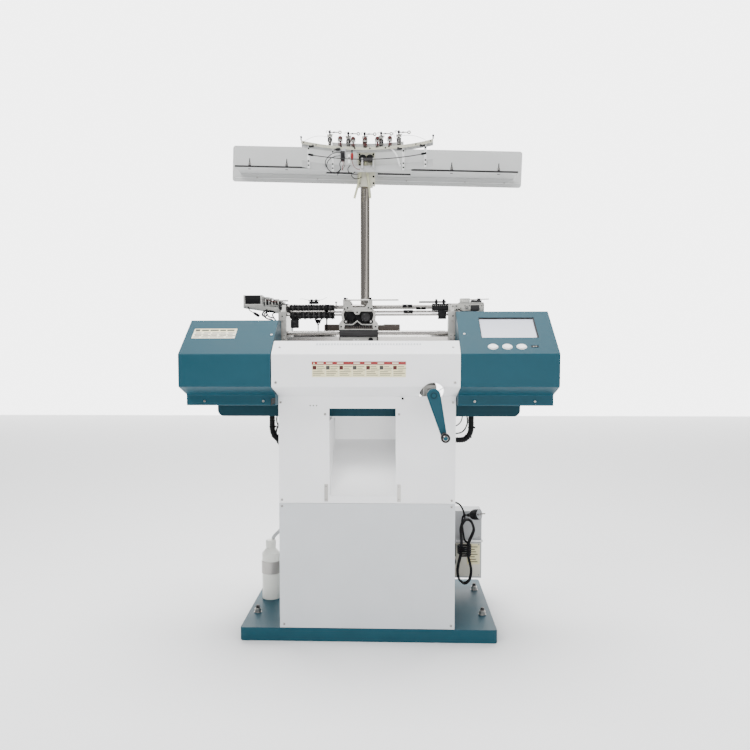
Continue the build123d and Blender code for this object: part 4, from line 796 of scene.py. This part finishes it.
# A strip that follows the rack's arc between two X.
def arcStrip(piece, x, radii, z, finish=None):
    steps = 24
    xs = [x[0] + (x[1] - x[0]) * i / steps for i in range(steps + 1)]
    outline = [(a, onArc(a, radii[0])) for a in xs] + [(a, onArc(a, radii[1])) for a in reversed(xs)]
    return piece.prism(outline, "z", z, finish=finish)


beam = Build("beam_dress", "frame", "rackCream", "rack_paint")
arcStrip(beam, (-236, 206), (297, 299.5), (1612, 1622), finish="rackCream")
arcStrip(beam, (-234, 204), (297.5, 317), (1617.6, 1619), finish="rackCream")
for x in (-228, -190, -60, -8, 46, 150, 198):
    beam.screw((x, onArc(x, 297), 1617), (x + 15, -300, 0), 2.8, 1.6, finish="blackPlastic")
for x in (-215, -136, 108, 182):
    y = onArc(x, 312)
    beam.box((x - 4, x + 4), (y - 3, y), (1540, 1614), edge=0.6, finish="whitePlastic")
    for z in (1548, 1562, 1604):
        beam.screw((x, y - 3, z), (0, -1, 0), 3, 1.8, finish="blackPlastic")
strap = smooth([(60, 194, 1618), (72, 184, 1608), (84, 178, 1590), (92, 180, 1568), (98, 188, 1548)], 6)
for a, b in zip(strap, strap[1:]):
    beam.prism([(a.x - 3.4, a.z), (a.x + 3.4, a.z), (b.x + 3.4, b.z), (b.x - 3.4, b.z)], "y",
               (a.y - 0.7, a.y + 0.7),
               finish="whitePlastic")
for z in (1552, 1562):
    beam.screw((97, 187, z), (0, -1, 0), 2.8, 1.8, finish="blackPlastic")
for x in (-236, 206):
    y = onArc(x, 300)
    beam.rod((x, y - 4, 1622), (x, y - 4, 1634), 2.2, finish="blackSteel")
    beam.rod((x - 3, y - 4, 1632), (x + 3, y - 4, 1634), 3.4, finish="blackPlastic", edge=0.6)
beam.done(sharp=0.5)

tension = Build("tension_units", "frame", "redBrown", "dark_steel")
for number, x in enumerate((-110, -66, -24.5, 18, 61)):
    y = onArc(x, 301.5)
    tension.box((x - 6, x + 6), (y - 5, y + 4), (1619, 1622), edge=0.6, finish="blackSteel")
    tension.tube(smooth([(x - 4.5, y - 4, 1621), (x - 6, y - 6, 1632), (x - 7, y - 8, 1644),
                         (x - 4, y - 9.5, 1652),
                         (x, y - 10, 1654), (x + 4, y - 9.5, 1652), (x + 7, y - 8, 1644),
                         (x + 6, y - 6, 1632),
                         (x + 4.5, y - 4, 1621)], 4), 1.1, sides=8)
    for front in (6.8, 4.6):
        tension.rod((x, y - front, 1648), (x, y - front + 1, 1648), 8.6, finish="aluminium", edge=0.3)
    tension.rod((x, y - 14, 1648), (x, y - 8, 1648), 1.6, finish="steel")
    tension.spring((x, y - 13.5, 1648), (x, y - 7, 1648), 3, 0.45, 5, finish="steel")
    tension.rod((x, y - 16, 1648), (x, y - 13.4, 1648), 3.6, finish="redBrown", edge=0.5)
    tension.box((x - 3, x + 3), (y - 4, y + 2), (1626, 1637), edge=0.8, finish="redBrown")
    for dx in (-7, 7):
        tension.rod((x + dx, y - 8, 1640), (x + dx, y - 3, 1640), 1.8, finish="cream")
for number, x in enumerate((-145.5, -83, -26.3, 31, 92.2)):
    y = onArc(x, 311.2)
    tension.rod((x, y, 1618), (x, y, 1624), 7, finish="aluminium", edge=0.6)
    tension.rod((x, y, 1626), (x, y, 1652), 5.4, finish="gunmetal", edge=0.6)
    for z in (1629, 1634, 1645):
        tension.rod((x, y, z), (x, y, z + 1.5), 6.2, finish="aluminium")
    tension.rod((x, y, 1676), (x, y, 1675.9 + 0.05), 3, finish="blackSteel")
    tension.box((x - 9, x + 9), (y - 5, y - 1), (1652, 1662), edge=1, finish="cast")
    tension.spring((x - 9, y - 6, 1656), (x + 12, y - 6, 1661), 2, 0.45, 8, finish="steel")
    tension.rod((x, y - 14, 1667), (x, y - 12, 1667), 4.6, finish="blackPlastic", edge=0.5)
    tension.tube(smooth([(x - 3, y - 6, 1671), (x - 9, y - 8, 1673), (x - 12, y - 10, 1669),
                         (x - 9, y - 11, 1664)], 4), 0.7,
                 finish="blackSteel")
    tension.screw((x, y - 5, 1640), (0, -1, 0), 2.4, 1.4, finish="zinc")
for path in ([(-145, 188, 1650), (-165, 175, 1655), (-195, 150, 1648), (-222, 125, 1630),
              (-230, 112, 1621)],
             [(92, 188, 1655), (120, 178, 1656), (150, 160, 1648), (178, 140, 1632), (188, 128, 1621)],
             [(-110, 180, 1650), (-95, 186, 1658), (-80, 188, 1652), (-70, 190, 1640)],
             [(18, 190, 1652), (30, 188, 1660), (42, 186, 1654), (52, 184, 1640)],
             [(92, 190, 1668), (80, 188, 1674), (74, 186, 1666), (79, 184, 1650), (90, 182, 1640)]):
    tension.tube(smooth(path, 6), 0.55, sides=6, finish="gunmetal")
tension.done()
for number, x in enumerate((-145.5, -83, -26.3, 31, 92.2)):
    y = onArc(x, 311.2) - 7
    arm = Build(f"arm_dress_{number + 1}", f"tension_arm_{number + 1}", "steel", "rod_chrome")
    arm.tube([(x + 3, y - 0.5, 1667), (x + 16, y - 0.5, 1668.2), (x + 30, y - 0.5, 1667)], 1.7, sides=8)
    ringPath = [(x + 35 + 5.4 * cos(tau * k / 20), y, 1667 + 5.4 * sin(tau * k / 20)) for k in range(20)]
    arm.tube(ringPath, 1.1, sides=8, closed=True, finish="cream")
    arm.rod((x + 12, y - 2, 1667), (x + 17, y - 2, 1667.4), 2.6, finish="gunmetal", edge=0.4)
    arm.done()
print("tension units done")

fittings = Build("rack_fittings_look", "frame", "blackPlastic", "black_plastic", ["rack_fittings"])
for x, top, bottom in ((-28, (-36, 1572), (-64, 1455)), (-12, (-24, 1572), (-8, 1455))):
    lower = smooth([(top[0], 237, 1600), (top[0] - 1, 238.5, top[1]),
                    ((top[0] + bottom[0]) / 2 + 2, 238.5, 1515),
                    (bottom[0], 238, bottom[1])], 6)
    fittings.tube(lower, 4.2, sides=14, finish="hose")
for x in (-34, -9):
    fittings.lathe([(10.6, 0), (12, 1.4), (12, 8), (10.4, 8.6), (10.4, 10.4), (12, 11), (12, 18),
                    (10.4, 20), (4, 20.4)],
                   (x, 242.6, 1592), (0, -1, 0))
    for k in range(20):
        a = tau * k / 20
        fittings.rod((x + 12 * cos(a), 240, 1592 + 12 * sin(a)),
                     (x + 12 * cos(a), 225, 1592 + 12 * sin(a)), 0.8, sides=6)
for x, y in ((-205, 132), (-118, 178), (95, 178), (172, 136)):
    fittings.box((x - 8, x + 8), (y - 4, y + 4), (1607.5, 1615.8), edge=1)
    fittings.rod((x - 9, y - 5, 1611), (x + 9, y - 5, 1611), 2, finish="gunmetal")
fittings.box((-112, -91), (182, 199), (1585, 1615.8), edge=1.4, finish="greyPlastic")
fittings.box((-109, -94), (180, 183), (1570, 1606), edge=1, finish="gunmetal")
fittings.box((-106, -97), (178, 181), (1575, 1600), edge=0.8, finish="blackPlastic")
for path, finish in (([(-108, 180, 1572), (-112, 178, 1560), (-108, 178, 1545), (-116, 180, 1532),
                       (-120, 182, 1524)], "cable"),
                     ([(-101, 179, 1572), (-99, 177, 1560), (-103, 176, 1548), (-100, 178, 1538)],
                      "wireRed"),
                     ([(-97, 180, 1572), (-94, 178, 1562), (-97, 178, 1550), (-106, 180, 1540)],
                      "brownSteel"),
                     ([(-112, 182, 1590), (-130, 176, 1586), (-148, 170, 1574), (-156, 168, 1556),
                       (-150, 170, 1540),
                       (-134, 176, 1532), (-118, 182, 1536), (-108, 186, 1548)], "cable"),
                     ([(-104, 182, 1600), (-124, 176, 1600), (-144, 172, 1590), (-160, 168, 1570),
                       (-158, 168, 1548)], "cable"),
                     ([(-70, 191, 1576), (-66, 190, 1562), (-60, 192, 1552), (-48, 205, 1548),
                       (-40, 225, 1556)], "wireRed"),
                     ([(-76, 192, 1560), (-84, 190, 1548), (-80, 190, 1535), (-66, 195, 1530),
                       (-50, 215, 1534)], "cable"),
                     ([(-60, 205, 1540), (-72, 200, 1528), (-64, 205, 1518), (-48, 222, 1520),
                       (-38, 234, 1528)], "cable")):
    fittings.tube(smooth(path, 6), 1.3 if finish == "cable" else 1.0, sides=8, finish=finish)
fittings.rod((-70, 192, 1600), (-70, 192, 1616), 2, finish="gunmetal")
fittings.lathe([(2.2, 0), (4.6, 3), (5.2, 10), (5.2, 18), (4.4, 22), (3, 24)], (-70, 192, 1577),
               (0, 0, 1), finish="red")
fittings.box((-84, -76), (186, 190), (1566, 1596), edge=0.8, finish="whitePlastic")
fittings.screw((-80, 186, 1584), (0, -1, 0), 2.6, 1.6, finish="blackPlastic")
for x in (-46, 3.5):
    for z in (1508, 1531, 1571, 1608):
        fittings.screw((x, 243, z), (0, -1, 0), 3.4, 2.2)
for x, z in ((-429, 1559.2), (-299, 1555.1), (275, 1537.1), (437, 1532)):
    fittings.lathe([(12.5, 0), (12.5, 2.6), (10, 3.4), (5, 5), (4, 8)], (x, 200, z), (0.031, 0, 1),
                   finish="blackSteel")
    fittings.rod((x, 200, z + 4), (x + 0.8, 200, z + 30.2), 2.9, tip=1.5, finish="gunmetal")
    fittings.spring((x, 200, z + 4), (x + 0.5, 200, z + 16), 4.2, 0.7, 6, finish="zinc")
    fittings.rod((x, 200, z - 1.6), (x, 200, z - 7.2), 5.6, sides=6, finish="gunmetal")
fittings.done()
tray = Build("tray_edges", "frame", "gunmetal", "rack_paint")
for x0, x1, y in ((-478, -165, 184), (135, 502, 184), (-165, -73, 259), (18, 135, 259)):
    z0, z1 = (1579 - (x - 12) * 0.03143 - 33.6 for x in (x0, x1))
    tray.prism([(x0, z0 - 9), (x1, z1 - 9), (x1, z1 - 1), (x0, z0 - 1)], "y", (y - 1.2, y), edge=0.3,
               finish="rackGrey")
    # painted shadow: this dark strip along the shelf's front lip stands in for the shade under the lip
    tray.prism([(x0, z0 - 4.5), (x1, z1 - 4.5), (x1, z1 + 1.4), (x0, z0 + 1.4)], "y", (y - 1.7, y + 1),
               finish="gunmetal")
# the white strip along the flange's fold is a painted highlight where the bend catches light; the grey
# strip is the tray's own paint
for z in (-47, -50.5):
    z0, z1 = (1579 - (x - 12) * 0.03143 + z for x in (-500, 525))
    tray.prism([(-500, z0), (525, z1), (525, z1 + 1.2), (-500, z0 + 1.2)], "y", (302.6, 303.6),
               finish=("rackGrey", "whitePlastic")[z < -48])
for x in (-420, -200, 120, 330, 470):
    z = 1579 - (x - 12) * 0.03143 - 48
    tray.rod((x, 303.4, z), (x, 301.8, z), 2.6, finish="zinc")
tray.done()
wire = Build("wire_tips", "stop_wire", "blackPlastic", "zinc")
for side in (-1, 1):
    reach = Vector((-15 + side * 287.5 * sin(0.7), -102.5 + 287.5 * cos(0.7), 1578))
    along = Vector((side * cos(0.7), -sin(0.7), 0))
    wire.rod(reach - along * 2, reach + along * 16.2, 3.7, edge=0.6)
wire.done()
print("rack done")

# crank, conduits, bottle, supply box, feet, door
crank = Build("crank_trim", "crank", "chrome", "zinc")
crank.lathe([(7.6, 0), (7.6, 2.8), (6, 3.8), (2, 3.9)], (221.5, -411, 672), (0, -1, 0), finish="chrome")
crank.lathe([(9.5, 0), (10.2, 1.4), (9.5, 2.8)], (191.5, -343, 788), (0, -1, 0), finish="tealDark")
crank.rod((191.5, -345.8, 788), (191.5, -346.8, 788), 5.4, finish="teal", edge=0.4)
crank.done()
grip = Build("grip_trim", "crank_handle", "blackPlastic", "black_plastic")
for step in range(7):
    y = -352 - 7 * step
    grip.lathe([(10.2 + 0.3 * step, 0), (10.9 + 0.3 * step, 0.9), (10.2 + 0.3 * step, 1.8)],
               (221.5, y, 672), (0, -1, 0))
grip.lathe([(11.8, 0), (13.2, 1), (13.2, 3), (11.6, 4.2), (8, 4.3)], (221.5, -407.2, 672), (0, -1, 0),
           sides=40)
grip.done()
pipes = Build("conduit_look", "frame", "blackPlastic", "black_plastic", ["conduits"])
for path in ([(-326, 0, 706.5), (-326, 0, 690), (-326, 0, 660), (-321, 0, 640), (-309, 0, 626),
              (-296, 0, 622), (-282.3, 0, 622)],
             [(330, 0, 706.5), (330, 0, 690), (330, 0, 662), (325, 0, 642), (312, 0, 628), (298, 0, 624),
              (268.3, 0, 624)]):
    fine = smooth(path, 20)
    dense = [fine[0]]
    for point in fine[1:]:
        if (point - dense[-1]).length >= 0.9:
            dense.append(point)
    pipes.tube(dense, [10 if (i // 2) % 2 else 8.4 for i in range(len(dense))], sides=24)
    for share in (0.3, 0.62):
        at = dense[int(len(dense) * share)]
        ahead = (dense[int(len(dense) * share) + 1] - at).normalized()
        pipes.rod(at - ahead * 1.6, at + ahead * 1.6, 10.7, finish="dark")
        pipes.box((at.x + 8, at.x + 14), (at.y - 2, at.y + 2), (at.z - 3, at.z + 3), edge=0.5,
                  finish="dark")
    end = dense[-1]
    inward = 1 if end.x < 0 else -1
    pipes.rod(end, end + Vector((-6 * inward, 0, 0)), 13, sides=6, finish="blackPlastic", edge=0.6)
for path, size in (([(-306, 40, 706.5), (-306, 40, 684), (-319, 40, 646), (-316, 40, 612),
                     (-301, 40, 598), (-282.3, 40, 598)], 3),
                   ([(-312, 20, 706.5), (-314, 22, 680), (-300, 24, 650), (-282.3, 26, 640)], 2.4),
                   ([(318, 22, 706.5), (320, 24, 676), (304, 26, 648), (268.3, 28, 640)], 2.4),
                   ([(306, 34, 706.5), (300, 36, 682), (286, 38, 668), (268.3, 40, 664)], 2)):
    pipes.tube(smooth(path, 6), size, finish="cable")
pipes.lathe([(12, 0), (12, 4), (10.5, 4.5), (8.4, 5), (8.4, 7), (7, 9), (5.6, 11.6), (3.6, 12)],
            (268, 200, 378), (1, 0, 0),
            finish="blackPlastic")
pipes.done(sharp=0.9)
bottle = Build("bottle_trim", "frame", "hose", "bottle_plastic")
bottle.tube(smooth([(-352, 160, 251), (-346, 164, 262), (-332, 168, 276), (-312, 170, 296),
                    (-282.3, 170, 322)], 6), 6, sides=16,
            finish="greyPlastic")
bottle.lathe([(31.1, 0), (31.5, 1), (31.1, 2)], (-358, 155, 60), (0, 0, 1), sides=48, finish="bottle")
bottle.lathe([(31.1, 0), (31.5, 1), (31.1, 2)], (-358, 155, 196), (0, 0, 1), sides=48, finish="bottle")
bottle.screw((-350, 131.2, 154), (0.2, -1, 0), 3, 1.6, finish="zinc")
bottle.done()
cap = Build("cap_ribs", "bottle_cap", "bottle", "bottle_plastic")
for k in range(28):
    a = tau * k / 28
    cap.rod((-358 + 17 * cos(a), 155 + 17 * sin(a), 225), (-358 + 17 * cos(a), 155 + 17 * sin(a), 247),
            0.8, sides=6)
cap.done()
box = Build("supply_trim", "frame", "greyPlastic", "grey_plastic")
box.box((274, 388), (222.6, 225), (106, 228), edge=0.8, finish="cream")
box.box((300, 396.5), (218.4, 220), (232.5, 239.5), edge=0.6, finish="whitePlastic")
box.box((340, 386), (222.2, 222.9), (150, 224), edge=0.2, finish="labelYellow")
for row in range(7):
    box.box((344, 378 - 5 * (row % 3)), (222.05, 222.25), (158 + 9 * row, 161 + 9 * row), finish="ink")
box.box((274, 388), (223.4, 225), (246, 338), edge=0.8, finish="greyPlastic")
for x in (280, 382):
    for z in (112, 222, 252, 332):
        box.screw((x, 222.6, z), (0, -1, 0), 2.6, 1.4, finish="zinc")
for step in range(8):
    box.box((391.9, 393), (245, 300), (260 + 9 * step, 263 + 9 * step), finish="dark")
box.box((270, 300), (214, 224.5), (180, 226), edge=2, finish="blackPlastic")
for path in ([(285, 216, 226), (286, 205, 250), (276, 196, 270), (268.3, 194, 280)],
             [(292, 216, 182), (296, 206, 160), (284, 198, 140), (268.3, 196, 130)]):
    box.tube(smooth(path, 6), 3.2, finish="cable")
box.done()
feet = Build("foot_trim", "frame", "blackPlastic", "zinc")
for x in (-378.5, 371.5):
    for y in (-10, 275):
        feet.rod((x, y, 53.5), (x, y, 57.5), 9, finish="zinc", edge=0.8)
        feet.rod((x, y, 57.5), (x, y, 60.5), 7.6, finish="blackPlastic", edge=0.8)
        feet.rod((x, y, 60.5), (x, y, 66.2), 6.1, finish="gunmetal", edge=0.6)
feet.done()
door = Build("door_trim", "back_door", "blackPlastic", "white_paint")
door.box((216, 228), (341, 344), (362, 418), edge=1.2)
for x in (-240, 240):
    for z in (80, 300, 680):
        door.screw((x, 328, z), (0, 1, 0), 3.4, 2, finish="zinc")
door.done()
print("side fittings done")

# floor and light
studio = {"floor": 30, "wall": 18, "wallY": 9, "wallZ": 4, "wallGlow": 5, "world": 0.5}
bpy.ops.mesh.primitive_plane_add(size=studio["floor"])
floor = bpy.context.object
floor.name = "floor"
floor.data.materials.append(look("floorWhite", (0.9, 0.9, 0.9), rough=0.8, vary=0.0, bump=0.0))
world = bpy.data.worlds.new("world")
scene.world = world
world.use_nodes = True
world.node_tree.nodes["Background"].inputs["Color"].default_value = (0.96, 0.98, 1, 1)
world.node_tree.nodes["Background"].inputs["Strength"].default_value = studio["world"]
backdrop = bpy.data.materials.new("backdrop")
backdrop.use_nodes = True
glow = backdrop.node_tree.nodes["Principled BSDF"]
glow.inputs["Base Color"].default_value = (0, 0, 0, 1)
glow.inputs["Emission Color"].default_value = (1, 1, 1, 1)
glow.inputs["Emission Strength"].default_value = studio["wallGlow"]
bpy.ops.mesh.primitive_plane_add(size=studio["wall"], location=(0, studio["wallY"], studio["wallZ"]),
                                 rotation=(pi / 2, 0, 0))
wall = bpy.context.object
wall.name = "backdrop"
wall.data.materials.append(backdrop)
for name, place, aim, size, power in (("key", (-1.6, -3.4, 3.6), (0, 0, 0.9), 2.0, 120),
                                     ("fill", (2.6, -3.0, 1.8), (0, 0, 0.9), 2.5, 35),
                                     ("low", (0.4, -3.2, 0.5), (-0.05, 0, 0.6), 1.6, 35),
                                     ("top", (0, 0.1, 4.4), (0, 0, 0.9), 2.6, 290)):
    lamp = bpy.data.lights.new(name, "AREA")
    lamp.size, lamp.energy = size, power
    holder = bpy.data.objects.new(name, lamp)
    scene.collection.objects.link(holder)
    holder.location = place
    holder.rotation_mode = "QUATERNION"
    holder.rotation_quaternion = (Vector(aim) - Vector(place)).to_track_quat("-Z", "Y")
